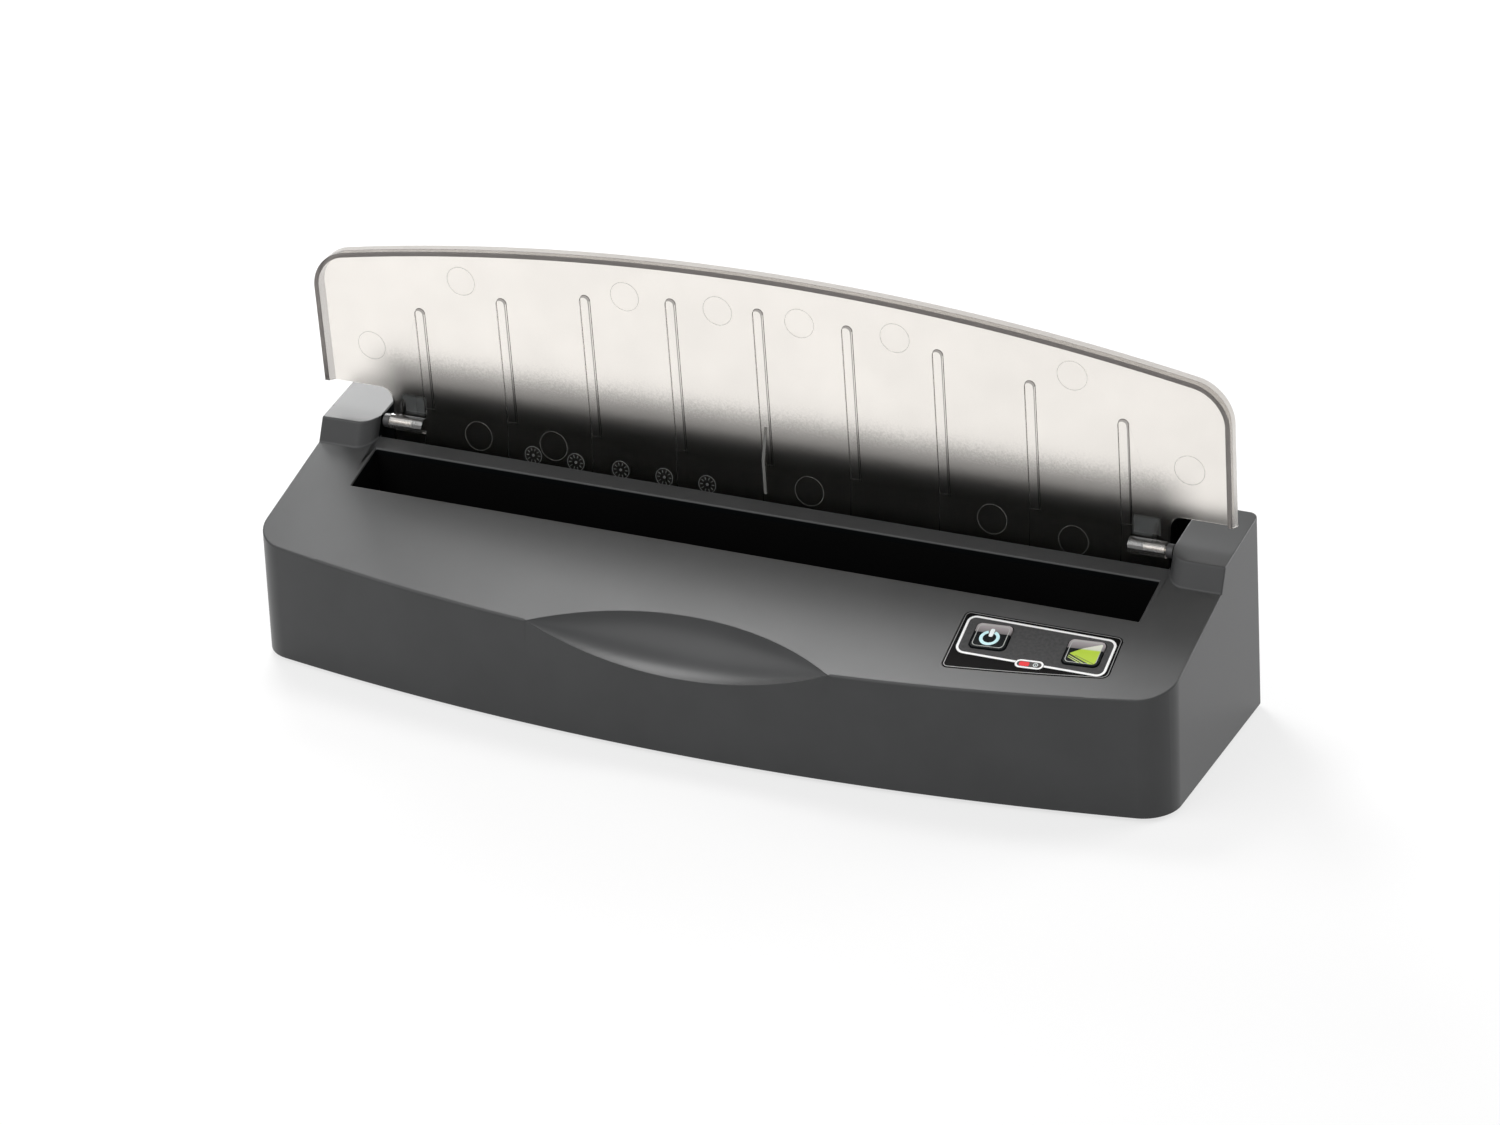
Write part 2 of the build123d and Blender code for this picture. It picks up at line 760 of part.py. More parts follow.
# ================================================================ heated well
with BuildPart() as slot_liner:
    with BuildSketch(Plane.XY.offset(liner_foot)):
        with Locations((0, slot_middle)):
            Rectangle(slot_length + 2 * liner_wall, slot_width + 2 * liner_wall)
    extrude(amount=reach)
    with BuildSketch(Plane.YZ.offset(-reach)):
        with BuildLine():
            Polyline(
                (-reach, slope_z(-reach) - (wall + panel_seat_gap) / slope_cos),
                (reach, slope_z(reach) - (wall + panel_seat_gap) / slope_cos),
                (reach, 2 * reach),
                (-reach, 2 * reach),
                close=True,
            )
        make_face()
    extrude(amount=2 * reach, mode=Mode.SUBTRACT)
    with BuildSketch(Plane.XY.offset(liner_foot)):
        with Locations((0, slot_middle)):
            Rectangle(2 * (liner_outer_end + liner_ear), slot_width)
            with Locations(*[(x, 0) for x, y in liner_screw_places]):
                Circle(screw_radius + screw_hole_play, mode=Mode.SUBTRACT)
    extrude(amount=liner_ear_thickness)
    with BuildSketch(Plane.XY.offset(liner_foot)):
        with Locations((0, slot_middle)):
            Rectangle(slot_length, slot_width)
    extrude(amount=reach, mode=Mode.SUBTRACT)
finish(slot_liner, "slot_liner")

with BuildPart() as liner_screws:
    with BuildSketch(Plane.XY.offset(liner_foot)):
        with Locations(*liner_screw_places):
            Circle(screw_head_radius)
    extrude(amount=-screw_head_height)
    with BuildSketch(Plane.XY.offset(liner_foot)):
        with Locations(*liner_screw_places):
            Circle(screw_radius)
    extrude(amount=liner_ear_thickness + screw_bite)
finish(liner_screws, "liner_screws")

heater_half = slot_end - heater_gap
heater_width = slot_width - 2 * heater_gap
element_half = heater_half - element_inset
element_width = heater_width - 2 * element_margin
clamp_screw_places = [
    ((index - (clamp_screw_count - 1) / 2) * clamp_screw_pitch, 0)
    for index in range(clamp_screw_count)
]


def heater_layer(foot, half_length, width, thickness, hole_radius):
    """A flat strip of the heater, drilled for the clamp's screws."""
    with BuildPart() as layer:
        with BuildSketch(Plane.XY.offset(foot)):
            with Locations((0, slot_middle)):
                Rectangle(2 * half_length, width)
                with Locations(*clamp_screw_places):
                    Circle(hole_radius, mode=Mode.SUBTRACT)
        extrude(amount=thickness)
    return layer


with BuildPart() as heater_plate:
    with BuildSketch(Plane.XY.offset(heater_foot)):
        with Locations((0, slot_middle)):
            Rectangle(2 * heater_half, heater_width)
    extrude(amount=heater_thickness)
    chamfer(heater_plate.edges().group_by(Axis.Z)[-1], heater_gap)
    with BuildSketch(Plane.XY.offset(heater_foot)):
        with Locations((0, slot_middle)):
            with Locations(*clamp_screw_places):
                Circle(small_screw_radius + screw_play)
    extrude(amount=clamp_screw_bite, mode=Mode.SUBTRACT)
finish(heater_plate, "heater_plate")

loose_hole = small_screw_radius + screw_hole_play
heating_element = heater_layer(
    element_foot, element_half, element_width, element_thickness, loose_hole
)
finish(heating_element, "heating_element")
element_insulator = heater_layer(
    insulator_foot, element_half, element_width, insulator_thickness, loose_hole
)
finish(element_insulator, "element_insulator")

with BuildPart() as element_clamp:
    clamp_width = element_width + 2 * (part_gap + clamp_thickness)
    with BuildSketch(Plane.XY.offset(clamp_foot)):
        with Locations((0, slot_middle)):
            Rectangle(2 * element_half, clamp_width)
            with Locations(*clamp_screw_places):
                Circle(loose_hole, mode=Mode.SUBTRACT)
    extrude(amount=heater_foot - clamp_foot)
    with BuildSketch(Plane.XY.offset(insulator_foot)):
        with Locations((0, slot_middle)):
            Rectangle(2 * element_half, element_width + 2 * part_gap)
    extrude(amount=heater_foot - insulator_foot, mode=Mode.SUBTRACT)
finish(element_clamp, "element_clamp")

with BuildPart() as clamp_screws:
    with BuildSketch(Plane.XY.offset(clamp_foot)):
        with Locations((0, slot_middle)):
            with Locations(*clamp_screw_places):
                Circle(small_head_radius)
    extrude(amount=-small_head_height)
    with BuildSketch(Plane.XY.offset(clamp_foot)):
        with Locations((0, slot_middle)):
            with Locations(*clamp_screw_places):
                Circle(small_screw_radius)
    extrude(amount=heater_foot - clamp_foot + clamp_screw_bite - screw_play)
finish(clamp_screws, "clamp_screws")

with BuildPart() as heater_brackets:
    web_x = heater_half - bracket_tab
    foot_top = power_board_foot + bracket_thickness
    for side in (-1, 1):
        with BuildSketch(Plane.XZ.offset(-slot_middle - bracket_width / 2)):
            with BuildLine():
                Polyline(
                    (side * heater_half, heater_foot),
                    (side * web_x, heater_foot),
                    (side * web_x, foot_top),
                    (side * (web_x + bracket_thickness - bracket_foot), foot_top),
                    (side * (web_x + bracket_thickness - bracket_foot), power_board_foot),
                    (side * (web_x + bracket_thickness), power_board_foot),
                    (side * (web_x + bracket_thickness), heater_foot - bracket_thickness),
                    (side * heater_half, heater_foot - bracket_thickness),
                    close=True,
                )
            make_face()
        extrude(amount=bracket_width)
    with BuildSketch(Plane.XY.offset(power_board_foot)):
        with Locations(*bracket_screw_places):
            Circle(loose_hole)
    extrude(amount=bracket_thickness, mode=Mode.SUBTRACT)
finish(heater_brackets, "heater_brackets")

with BuildPart() as thermostat:
    thermostat_foot = clamp_foot - thermostat_cap - thermostat_height
    with BuildSketch(Plane.XY.offset(clamp_foot)):
        with Locations((thermostat_x, slot_middle)):
            Circle(thermostat_cap_radius)
    extrude(amount=-thermostat_cap)
    with BuildSketch(Plane.XY.offset(thermostat_foot)):
        with Locations((thermostat_x, slot_middle)):
            Circle(thermostat_radius)
    extrude(amount=thermostat_height)
    with BuildSketch(Plane.XY.offset(thermostat_foot + terminal_thickness)):
        with Locations((thermostat_x, slot_middle)):
            Rectangle(2 * (thermostat_radius + terminal_length), terminal_width)
    extrude(amount=terminal_thickness)
finish(thermostat, "thermostat")

fuse_axis_z = clamp_foot - fuse_clip_thickness - seat_play - fuse_link_radius
fuse_plane = Plane(
    origin=(fuse_link_x, slot_middle, fuse_axis_z), x_dir=(0, 1, 0), z_dir=(1, 0, 0)
)
with BuildPart() as thermal_fuse:
    with BuildSketch(fuse_plane):
        Circle(fuse_link_radius)
    extrude(amount=fuse_link_length / 2, both=True)
    with BuildSketch(fuse_plane):
        Circle(fuse_lead_radius)
    extrude(amount=fuse_link_length / 2 + fuse_lead_length, both=True)
finish(thermal_fuse, "thermal_fuse")

with BuildPart() as fuse_clip:
    with BuildSketch(fuse_plane):
        Circle(fuse_link_radius + seat_play + fuse_clip_thickness)
        with Locations((0, fuse_link_radius + seat_play + fuse_clip_thickness / 2)):
            Rectangle(fuse_clip_pad, fuse_clip_thickness)
        Circle(fuse_link_radius + seat_play, mode=Mode.SUBTRACT)
    extrude(amount=fuse_clip_width / 2, both=True)
finish(fuse_clip, "fuse_clip")

# ==================================================================== lid
def lid_front(x):
    """The lid's bowed front edge at x, measured from the hinge axis."""
    return lid_reach - bow(x) / slope_cos


def lid_outline(inset):
    """The lid's outline in its own plane, drawn in on three sides."""
    side = half_width - inset
    corner = lid_front(side) - inset
    with BuildSketch(lid_frame.offset(lid_outer)) as outline:
        with BuildLine():
            Polyline((side, corner), (side, lid_foot), (-side, lid_foot), (-side, corner))
            ThreePointArc((-side, corner), (0, lid_front(0) - inset), (side, corner))
        make_face()
        upper = outline.vertices().group_by(lambda corner: corner.Z)[-1]
        fillet(upper, lid_corner_radius - inset)
    return outline.sketch


with BuildPart() as lid_notch:
    notch_run = lid_depth * tan(radians(lid_notch_lean))
    with BuildSketch(lid_section.offset(tail_half)):
        with BuildLine():
            Polyline(
                (-lid_reach, lid_outer - lid_plate),
                (lid_notch_height - notch_run * lid_plate / lid_depth, lid_outer - lid_plate),
                (lid_notch_height + notch_run, rim_end),
                (-lid_reach, rim_end),
                close=True,
            )
        make_face()
    extrude(amount=half_width)
    inner_corner = lid_notch.edges().filter_by(GeomType.LINE).group_by(Axis.X)[0]
    fillet(inner_corner.sort_by(Axis.Z)[-1], lid_notch_radius)
    mirror(about=Plane.YZ)

with BuildPart() as lid:
    extrude(lid_outline(0), amount=lid_depth)
    outer_face = lid.faces().sort_by(Axis(lid_frame.origin, lid_frame.z_dir))[0]
    rounded = [
        edge
        for edge in outer_face.edges()
        if lid_frame.to_local_coords(edge.center()).Y > lid_foot + lid_edge_radius
    ]
    fillet(rounded, lid_edge_radius)
    # The tray's inside, open towards the hinge.
    tray = lid_outline(lid_rim).moved(Location(lid_frame.z_dir * lid_plate))
    extrude(tray, amount=lid_depth, mode=Mode.SUBTRACT)
    with BuildSketch(lid_frame.offset(lid_inner)):
        Rectangle(2 * (half_width - lid_rim), 2 * lid_notch_height)
    extrude(amount=lid_depth, mode=Mode.SUBTRACT)
    add(lid_notch.part, mode=Mode.SUBTRACT)
    # The tail, bent to lie flush between the hinge blocks when the lid is shut.
    tail_end = sqrt(tail_reach**2 - block_rise**2)
    with BuildSketch(lid_section.offset(-tail_half)) as tail:
        with BuildLine():
            Polyline(
                (lid_notch_height, lid_outer),
                tail_kink(lid_outer, block_rise),
                tail_point(tail_end, block_rise),
                tail_point(tail_end, block_rise - lid_plate),
                tail_kink(lid_inner, block_rise - lid_plate),
                (lid_notch_height, lid_inner),
                close=True,
            )
        make_face()
        tail_tips = tail.vertices().sort_by(Axis(lid_frame.origin, lid_frame.y_dir))
        fillet(tail_tips[0], tail_end_radius)
    extrude(amount=2 * tail_half)
    # Ribs on the inner side, from their rounded tops down through the tail.
    rib_join = tail_kink(lid_outer, block_rise)[0] + rib_width
    for index in range(rib_count):
        rib_x = (index - (rib_count - 1) / 2) * rib_pitch
        top = rib_top - bow(rib_x, rib_bow_radius)
        with BuildSketch(lid_frame.offset(lid_inner - lid_plate / 2)):
            with BuildLine():
                Polyline(
                    (rib_x - rib_width / 2, top - rib_width / 2),
                    (rib_x - rib_width / 2, rib_join),
                    (rib_x + rib_width / 2, rib_join),
                    (rib_x + rib_width / 2, top - rib_width / 2),
                )
                ThreePointArc(
                    (rib_x + rib_width / 2, top - rib_width / 2),
                    (rib_x, top),
                    (rib_x - rib_width / 2, top - rib_width / 2),
                )
            make_face()
        extrude(amount=lid_plate / 2 + rib_height)
        with BuildSketch(lid_section.offset(rib_x)):
            with BuildLine():
                Polyline(
                    tail_point(tail_end - tail_end_radius, block_rise - lid_plate / 2),
                    tail_point(tail_end - rib_height, block_rise - lid_plate - rib_height),
                    tail_kink(lid_inner + rib_height, block_rise - lid_plate - rib_height),
                    (rib_join, lid_inner + rib_height),
                    (rib_join, lid_inner - lid_plate / 2),
                    tail_kink(lid_inner - lid_plate / 2, block_rise - lid_plate / 2),
                    close=True,
                )
            make_face()
        extrude(amount=rib_width / 2, both=True)
    # The fin in the middle.
    with BuildSketch(lid_section):
        with BuildLine():
            Polyline(
                (fin_top, lid_inner - lid_plate / 2),
                (fin_top, lid_inner),
                (fin_shoulder, fin_rise),
                (-fin_foot, fin_rise),
                tail_point(2 * fin_foot, block_rise - lid_plate),
                tail_kink(lid_inner - lid_plate / 2, block_rise - lid_plate / 2),
                close=True,
            )
        make_face()
    extrude(amount=fin_thickness / 2, both=True)
    # Hinge barrels with their gussets, and the bores for the pins.
    for side in (-1, 1):
        with BuildSketch(lid_section.offset(side * tail_half)):
            Circle(barrel_radius)
        extrude(amount=-side * barrel_length)
        with BuildSketch(lid_section.offset(side * (tail_half - gusset_inset))):
            with BuildLine():
                Polyline(
                    (gusset_reach, lid_inner - lid_plate / 2),
                    (gusset_reach, lid_inner),
                    (barrel_radius, gusset_rise),
                    (0, gusset_rise),
                    (0, lid_inner / 2),
                    tail_kink(lid_inner - lid_plate / 2, block_rise - lid_plate / 2),
                    close=True,
                )
            make_face()
        extrude(amount=gusset_thickness / 2, both=True)
        with BuildSketch(lid_section.offset(side * tail_half)):
            Circle(pin_radius + pin_play)
        extrude(amount=-side * (pin_engagement + part_gap), mode=Mode.SUBTRACT)
finish(lid, "lid")

with BuildPart() as hinge_pins:
    for side in (-1, 1):
        with BuildSketch(lid_section.offset(side * (tail_half - pin_engagement))):
            Circle(pin_radius)
        extrude(amount=side * pin_length)
    chamfer(hinge_pins.edges().filter_by(GeomType.CIRCLE), pin_radius / 4)
finish(hinge_pins, "hinge_pins")

with BuildPart() as hinge_washers:
    for side in (-1, 1):
        with BuildSketch(lid_section.offset(side * (tail_half + part_gap))):
            Circle(washer_radius)
            Circle(pin_radius + pin_play, mode=Mode.SUBTRACT)
        extrude(amount=side * (lid_notch_gap - 2 * part_gap))
finish(hinge_washers, "hinge_washers")

# ============================================================ control panel
with BuildPart() as panel_overlay:
    extrude(panel_outline(), amount=-panel_thickness)
    for hole in key_holes:
        extrude(hole, amount=-board_drop / 2, mode=Mode.SUBTRACT)
finish(panel_overlay, "panel_overlay")

stem_foot = switch_height + plunger_rise - board_drop
flange_top = -wall - key_stop_gap


def make_key(x):
    """A key with its retaining flange and the stem that presses its switch."""
    with BuildPart() as key:
        top = key_outline(x, key_back).moved(Location(panel_frame.z_dir * key_proud))
        extrude(top, amount=flange_top - key_flange_thickness / 2 - key_proud)
        upper_face = key.faces().sort_by(Axis(panel_frame.origin, panel_frame.z_dir))[-1]
        chamfer(upper_face.edges(), key_proud / 2)
        flange_place = Location(panel_frame.z_dir * flange_top)
        flange = key_outline(x, key_back, key_flange).moved(flange_place)
        extrude(flange, amount=-key_flange_thickness)
        with BuildSketch(Plane(key_place(x, key_back, stem_foot))):
            Circle(key_stem_radius)
        extrude(amount=flange_top - stem_foot)
    return key


def make_plunger(x):
    """The switch's plunger under a key."""
    with BuildPart() as plunger:
        with BuildSketch(Plane(key_place(x, key_back, stem_foot))):
            Circle(plunger_radius)
        extrude(amount=-plunger_rise - plunger_seat)
    return plunger


for key_name, key_x in keys.items():
    finish(make_key(key_x), f"{key_name}_button")
    finish(make_plunger(key_x), f"{key_name}_switch_plunger")

with BuildPart() as switch_bodies:
    hole_depth = plunger_seat + key_travel + plunger_play
    for key_x in keys.values():
        with BuildSketch(Plane(key_place(key_x, key_back, -board_drop))):
            Rectangle(switch_side, switch_side)
        extrude(amount=switch_height)
        with BuildSketch(Plane(key_place(key_x, key_back, switch_height - board_drop))):
            Circle(plunger_radius + plunger_play)
        extrude(amount=-hole_depth, mode=Mode.SUBTRACT)
finish(switch_bodies, "switch_bodies")

with BuildPart() as indicator_lens:
    extrude(lens_outline(), amount=-wall - lens_flange_thickness / 2)
    lens_foot = Location(panel_frame.z_dir * -wall)
    extrude(lens_outline(lens_flange).moved(lens_foot), amount=-lens_flange_thickness)
finish(indicator_lens, "indicator_lens")

with BuildPart() as indicator_led:
    with BuildSketch(Plane(key_place(lens_x - lens_length / 4, lens_back, -board_drop))):
        Circle(led_radius + led_flange)
    extrude(amount=led_flange * 2)
    with BuildSketch(Plane(key_place(lens_x - lens_length / 4, lens_back, -board_drop))):
        Circle(led_radius)
    extrude(amount=led_height)
finish(indicator_led, "indicator_led")

with BuildPart() as control_board:
    with BuildSketch(panel_frame.offset(board_under)):
        with Locations((board_middle, board_centre_y)):
            RectangleRounded(board_length, board_depth, board_corner_radius)
        with Locations(*board_screw_places):
            Circle(loose_hole, mode=Mode.SUBTRACT)
    extrude(amount=board_thickness)
finish(control_board, "control_board")

with BuildPart() as buzzer:
    with BuildSketch(panel_frame.offset(board_under)):
        with Locations((board_middle, board_centre_y)):
            Circle(buzzer_radius)
    extrude(amount=-buzzer_height)
    with BuildSketch(panel_frame.offset(board_under - buzzer_height)):
        with Locations((board_middle, board_centre_y)):
            Circle(buzzer_hole)
    extrude(amount=buzzer_depth, mode=Mode.SUBTRACT)
finish(buzzer, "buzzer")

with BuildPart() as board_screws:
    with BuildSketch(panel_frame.offset(board_under)):
        with Locations(*board_screw_places):
            Circle(small_head_radius)
    extrude(amount=-small_head_height)
    with BuildSketch(panel_frame.offset(board_under)):
        with Locations(*board_screw_places):
            Circle(small_screw_radius)
    extrude(amount=board_thickness + small_screw_bite)
finish(board_screws, "board_screws")

# ============================================================== power board
with BuildPart() as power_board:
    with BuildSketch(Plane.XY.offset(power_board_foot)):
        with Locations((power_board_x, power_board_y)):
            RectangleRounded(power_board_length, power_board_depth, board_corner_radius)
        with Locations(*power_screw_places):
            Circle(loose_hole, mode=Mode.SUBTRACT)
    extrude(amount=board_thickness)
finish(power_board, "power_board")

for places, seat, name in (
    (power_screw_places, power_board_top, "power_board_screws"),
    (bracket_screw_places, foot_top, "bracket_screws"),
):
    with BuildPart() as low_screws:
        with BuildSketch(Plane.XY.offset(seat)):
            with Locations(*places):
                Circle(small_head_radius)
        extrude(amount=small_head_height)
        with BuildSketch(Plane.XY.offset(seat)):
            with Locations(*places):
                Circle(small_screw_radius)
        extrude(amount=power_board_foot - small_screw_bite - seat)
    finish(low_screws, name)


def board_block(place, size):
    """Sketch of a box-shaped component, at a place along the power board."""
    with BuildSketch(Plane.XY.offset(power_board_top)) as block:
        with Locations((power_board_left + place, power_board_y)):
            RectangleRounded(size[0], size[1], board_corner_radius / 2)
    return block.sketch


with BuildPart() as transformer:
    flange_size = (transformer_size[0], transformer_size[1] + 2 * transformer_flange)
    extrude(board_block(transformer_place, transformer_size), amount=transformer_size[2])
    extrude(board_block(transformer_place, flange_size), amount=transformer_flange)
finish(transformer, "transformer")

with BuildPart() as relay:
    extrude(board_block(relay_place, relay_size), amount=relay_size[2])
finish(relay, "relay")

with BuildPart() as capacitor:
    with BuildSketch(Plane.XY.offset(power_board_top)):
        with Locations((power_board_left + capacitor_place, power_board_y)):
            Circle(capacitor_radius)
    extrude(amount=capacitor_height)
    chamfer(capacitor.edges().group_by(Axis.Z)[-1], board_corner_radius / 2)
finish(capacitor, "capacitor")

with BuildPart() as terminal_block:
    terminal_body = board_block(terminal_block_place, terminal_block_size)
    extrude(terminal_body, amount=terminal_block_size[2])
    with BuildSketch(Plane.XY.offset(power_board_top + terminal_block_size[2])):
        with Locations((power_board_left + terminal_block_place, power_board_y)):
            with GridLocations(1, terminal_block_size[1] / 3, 1, 3):
                Circle(terminal_screw_radius)
    extrude(amount=-terminal_screw_depth, mode=Mode.SUBTRACT)
finish(terminal_block, "terminal_block")

# ============================================================== mains inlet
with BuildPart() as mains_inlet:
    with BuildSketch(inlet_plane):
        RectangleRounded(inlet_width, inlet_tall, inlet_corner)
    extrude(amount=-inlet_depth)
    with BuildSketch(inlet_plane.offset(-wall - inlet_play)):
        Rectangle(inlet_width + 2 * inlet_flange, inlet_tall + 2 * inlet_flange)
    extrude(amount=-inlet_flange_thickness)
    with BuildSketch(inlet_plane):
        SlotOverall(inlet_recess_width, inlet_recess_tall)
    extrude(amount=-inlet_recess_depth, mode=Mode.SUBTRACT)
    with BuildSketch(inlet_plane):
        with GridLocations(inlet_pin_pitch, 1, 2, 1):
            Circle(inlet_pin_radius + seat_play)
    extrude(amount=-inlet_depth, mode=Mode.SUBTRACT)
finish(mains_inlet, "mains_inlet")

with BuildPart() as inlet_pins:
    with BuildSketch(inlet_plane.offset(inlet_pin_length - inlet_recess_depth)):
        with GridLocations(inlet_pin_pitch, 1, 2, 1):
            Circle(inlet_pin_radius)
    extrude(amount=inlet_recess_depth - inlet_pin_length - inlet_depth - inlet_tag_length)
    chamfer(inlet_pins.edges().group_by(Axis.Y)[-1], inlet_pin_radius / 3)
finish(inlet_pins, "inlet_pins")
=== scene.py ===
"""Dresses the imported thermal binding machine: its moulded casing, smoky lid, key panel and stage.

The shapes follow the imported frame, which fixes every place. Working lengths are millimetres until
a piece is finished; Blender's own units are metres.
"""

import json
import math
from types import SimpleNamespace

import bmesh
import bpy
from mathutils import Matrix, Vector

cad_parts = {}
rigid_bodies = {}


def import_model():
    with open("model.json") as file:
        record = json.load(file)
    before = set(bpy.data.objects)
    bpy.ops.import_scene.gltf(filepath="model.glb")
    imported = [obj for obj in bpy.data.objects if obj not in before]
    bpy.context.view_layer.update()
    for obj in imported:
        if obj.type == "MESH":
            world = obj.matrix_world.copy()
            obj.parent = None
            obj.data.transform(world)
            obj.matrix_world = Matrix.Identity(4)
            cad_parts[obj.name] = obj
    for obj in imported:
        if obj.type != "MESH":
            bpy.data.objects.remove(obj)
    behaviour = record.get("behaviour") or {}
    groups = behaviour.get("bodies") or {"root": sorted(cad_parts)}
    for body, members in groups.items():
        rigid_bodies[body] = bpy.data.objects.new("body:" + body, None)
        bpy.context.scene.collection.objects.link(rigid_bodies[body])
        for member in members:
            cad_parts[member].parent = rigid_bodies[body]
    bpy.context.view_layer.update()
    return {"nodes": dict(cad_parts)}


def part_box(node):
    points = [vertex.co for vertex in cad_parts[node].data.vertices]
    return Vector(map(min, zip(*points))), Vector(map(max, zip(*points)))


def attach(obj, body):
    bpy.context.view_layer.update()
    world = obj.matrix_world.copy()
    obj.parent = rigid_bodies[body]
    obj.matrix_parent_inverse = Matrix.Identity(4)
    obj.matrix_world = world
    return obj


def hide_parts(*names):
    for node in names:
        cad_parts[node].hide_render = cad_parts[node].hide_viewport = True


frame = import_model()

bl_info = {
    "name": "Thermal Binding Machine",
    "version": (1, 0, 0),
    "blender": (4, 5, 0),
    "location": "3D View > Sidebar > Binder",
    "description": "Moulded casing, smoky lid, key panel and stage "
    "of a desktop thermal binding machine",
    "category": "Object",
}

MM = 0.001
CLOSE = 0.02  # two places nearer than this, in mm, are one
MERGE = 0.002  # vertices nearer than this, in mm, are joined
FAR = 400.0  # outside the machine, in mm
SOFT_ANGLE = math.radians(24)  # flatter edges stay as they are
SIDE = Matrix(((0, 0, 1, 0), (1, 0, 0, 0), (0, 1, 0, 0), (0, 0, 0, 1)))  # local z runs along X
ALONG = Matrix.Rotation(math.pi / 2, 4, "Y")  # local z runs along X, for round things


def length(name, text, millimetres):
    """A length that a user may change."""
    return bpy.props.FloatProperty(
        name=name, description=text, default=millimetres * MM, min=0.0, unit="LENGTH", precision=5
    )


def turn(name, text, degrees):
    """An angle that a user may change."""
    return bpy.props.FloatProperty(
        name=name, description=text, default=math.radians(degrees), subtype="ANGLE", unit="ROTATION"
    )


def share(name, text, value, most=1.0):
    """A plain number that a user may change."""
    return bpy.props.FloatProperty(name=name, description=text, default=value, min=0.0, max=most)


def tint(name, text, rgb):
    """A colour that a user may change."""
    return bpy.props.FloatVectorProperty(
        name=name, description=text, default=rgb, size=3, min=0.0, max=1.0, subtype="COLOR"
    )


class BinderCasingSizes(bpy.types.PropertyGroup):
    """Sizes of the moulded upper housing."""

    slope: turn("Slope", "Rise of the working face towards the back", 16.3)
    wall: length("Wall", "Thickness of the moulded walls", 2.4)
    bow_radius: length("Bow radius", "Radius of the bowed front wall in plan", 950)
    front_corner: length("Front corner", "Radius of the two front corners in plan", 11)
    rear_corner: length("Rear corner", "Radius of the two rear corners in plan", 3.5)
    front_draft: length("Front draft", "What the front wall leans back over its height", 1.65)
    side_draft: length("Side draft", "What each side leans in over its height", 0.6)
    rear_draft: length("Rear draft", "What the rear wall leans in over its height", 0.9)
    slot_setback: length("Slot setback", "Lower front edge to the slot's front edge", 51.5)
    slot_height: length("Slot height", "Working face above the lower edge, at the slot", 56)
    slot_length: length("Slot length", "Length of the binding slot", 310)
    slot_width: length("Slot width", "Width of the binding slot", 20)
    strip: length("Strip", "Working face left between the slot and the trough", 6.4)
    trough: length("Trough", "Front to back of the hinge trough", 27.9)
    trough_floor: length("Trough floor", "Floor of the trough, below the hinge axis", 24.7)
    block_gap: length("Block gap", "Slot's end to the hinge block beside it", 1.6)
    block_lead: length("Block lead", "Foot of the block's face before the slot's rear edge", 1.6)
    block_rise: length("Block rise", "Hinge axis to the top of the blocks", 3.04)
    block_lean: turn("Block lean", "Face of the blocks, back from upright", 25)
    block_top: turn("Block top", "Rise of the blocks' tops towards the back", 8.4)
    block_corner: length("Block corner", "Radius of the blocks' inner front corners", 7.5)
    scoop_half: length("Scoop half width", "Half the width of the finger scoop", 58.7)
    scoop_reach: length("Scoop reach", "Scoop's reach back up the working face", 17.7)
    scoop_drop: length("Scoop drop", "Scoop's reach down the front wall", 10.7)
    scoop_turn: turn("Scoop turn", "Angle that the scoop's section turns through", 66)
    ridge_edge: length("Ridge edge", "Radius along the front ridge", 0.9)
    edge: length("Edge", "Radius of the casing's other edges", 0.55)
    crisp_edge: length("Crisp edge", "Radius of the scoop's edges", 0.22)


class BinderLidSizes(bpy.types.PropertyGroup):
    """Sizes of the swinging lid."""

    reach: length("Reach", "Hinge axis to the middle of the lid's far edge", 83.77)
    lean: turn("Lean", "Lid's plate, tipped from the upright as it stands open", -2.3)
    outer: length("Outer face", "Outer face behind the hinge axis", 3.9)
    plate: length("Plate", "Thickness of the lid's plate", 1.8)
    depth: length("Depth", "Outer face to the end of the rim", 6.5)
    rim: length("Rim", "Thickness of the rim round the lid", 1.85)
    corner: length("Corner", "Radius of the lid's two corners", 13)
    edge: length("Edge", "Radius of the outer edge", 1.2)
    tail_half: length("Tail half width", "Half the width of the tail between the blocks", 153.6)
    tail_reach: length("Tail reach", "Hinge axis to the end of the tail", 22.8)
    tail_bend: turn("Tail bend", "Bend of the tail from the plate", 7.9)
    notch: length("Notch", "Hinge axis to the lower edge beside the tail", 12)
    notch_lean: turn("Notch lean", "Lean of the lower edge through the rim", 20)
    notch_corner: length("Notch corner", "Inside corner between tail and lower edge", 5)
    rib_pitch: length("Rib pitch", "Spacing of the ribs", 34.5)
    rib_width: length("Rib width", "Width of a rib", 3.8)
    rib_height: length("Rib height", "Rib above the plate", 1.2)
    rib_top: length("Rib top", "Hinge axis to the top of the middle rib", 69.2)
    rib_bow: length("Rib bow", "Radius of the curve that the rib tops follow", 460)
    rib_count: bpy.props.IntProperty(
        name="Ribs", description="Ribs across the lid", default=9, min=1, max=21
    )
    barrel: length("Barrel", "Radius of the hinge barrels", 3)
    barrel_length: length("Barrel length", "Length of a hinge barrel", 14)


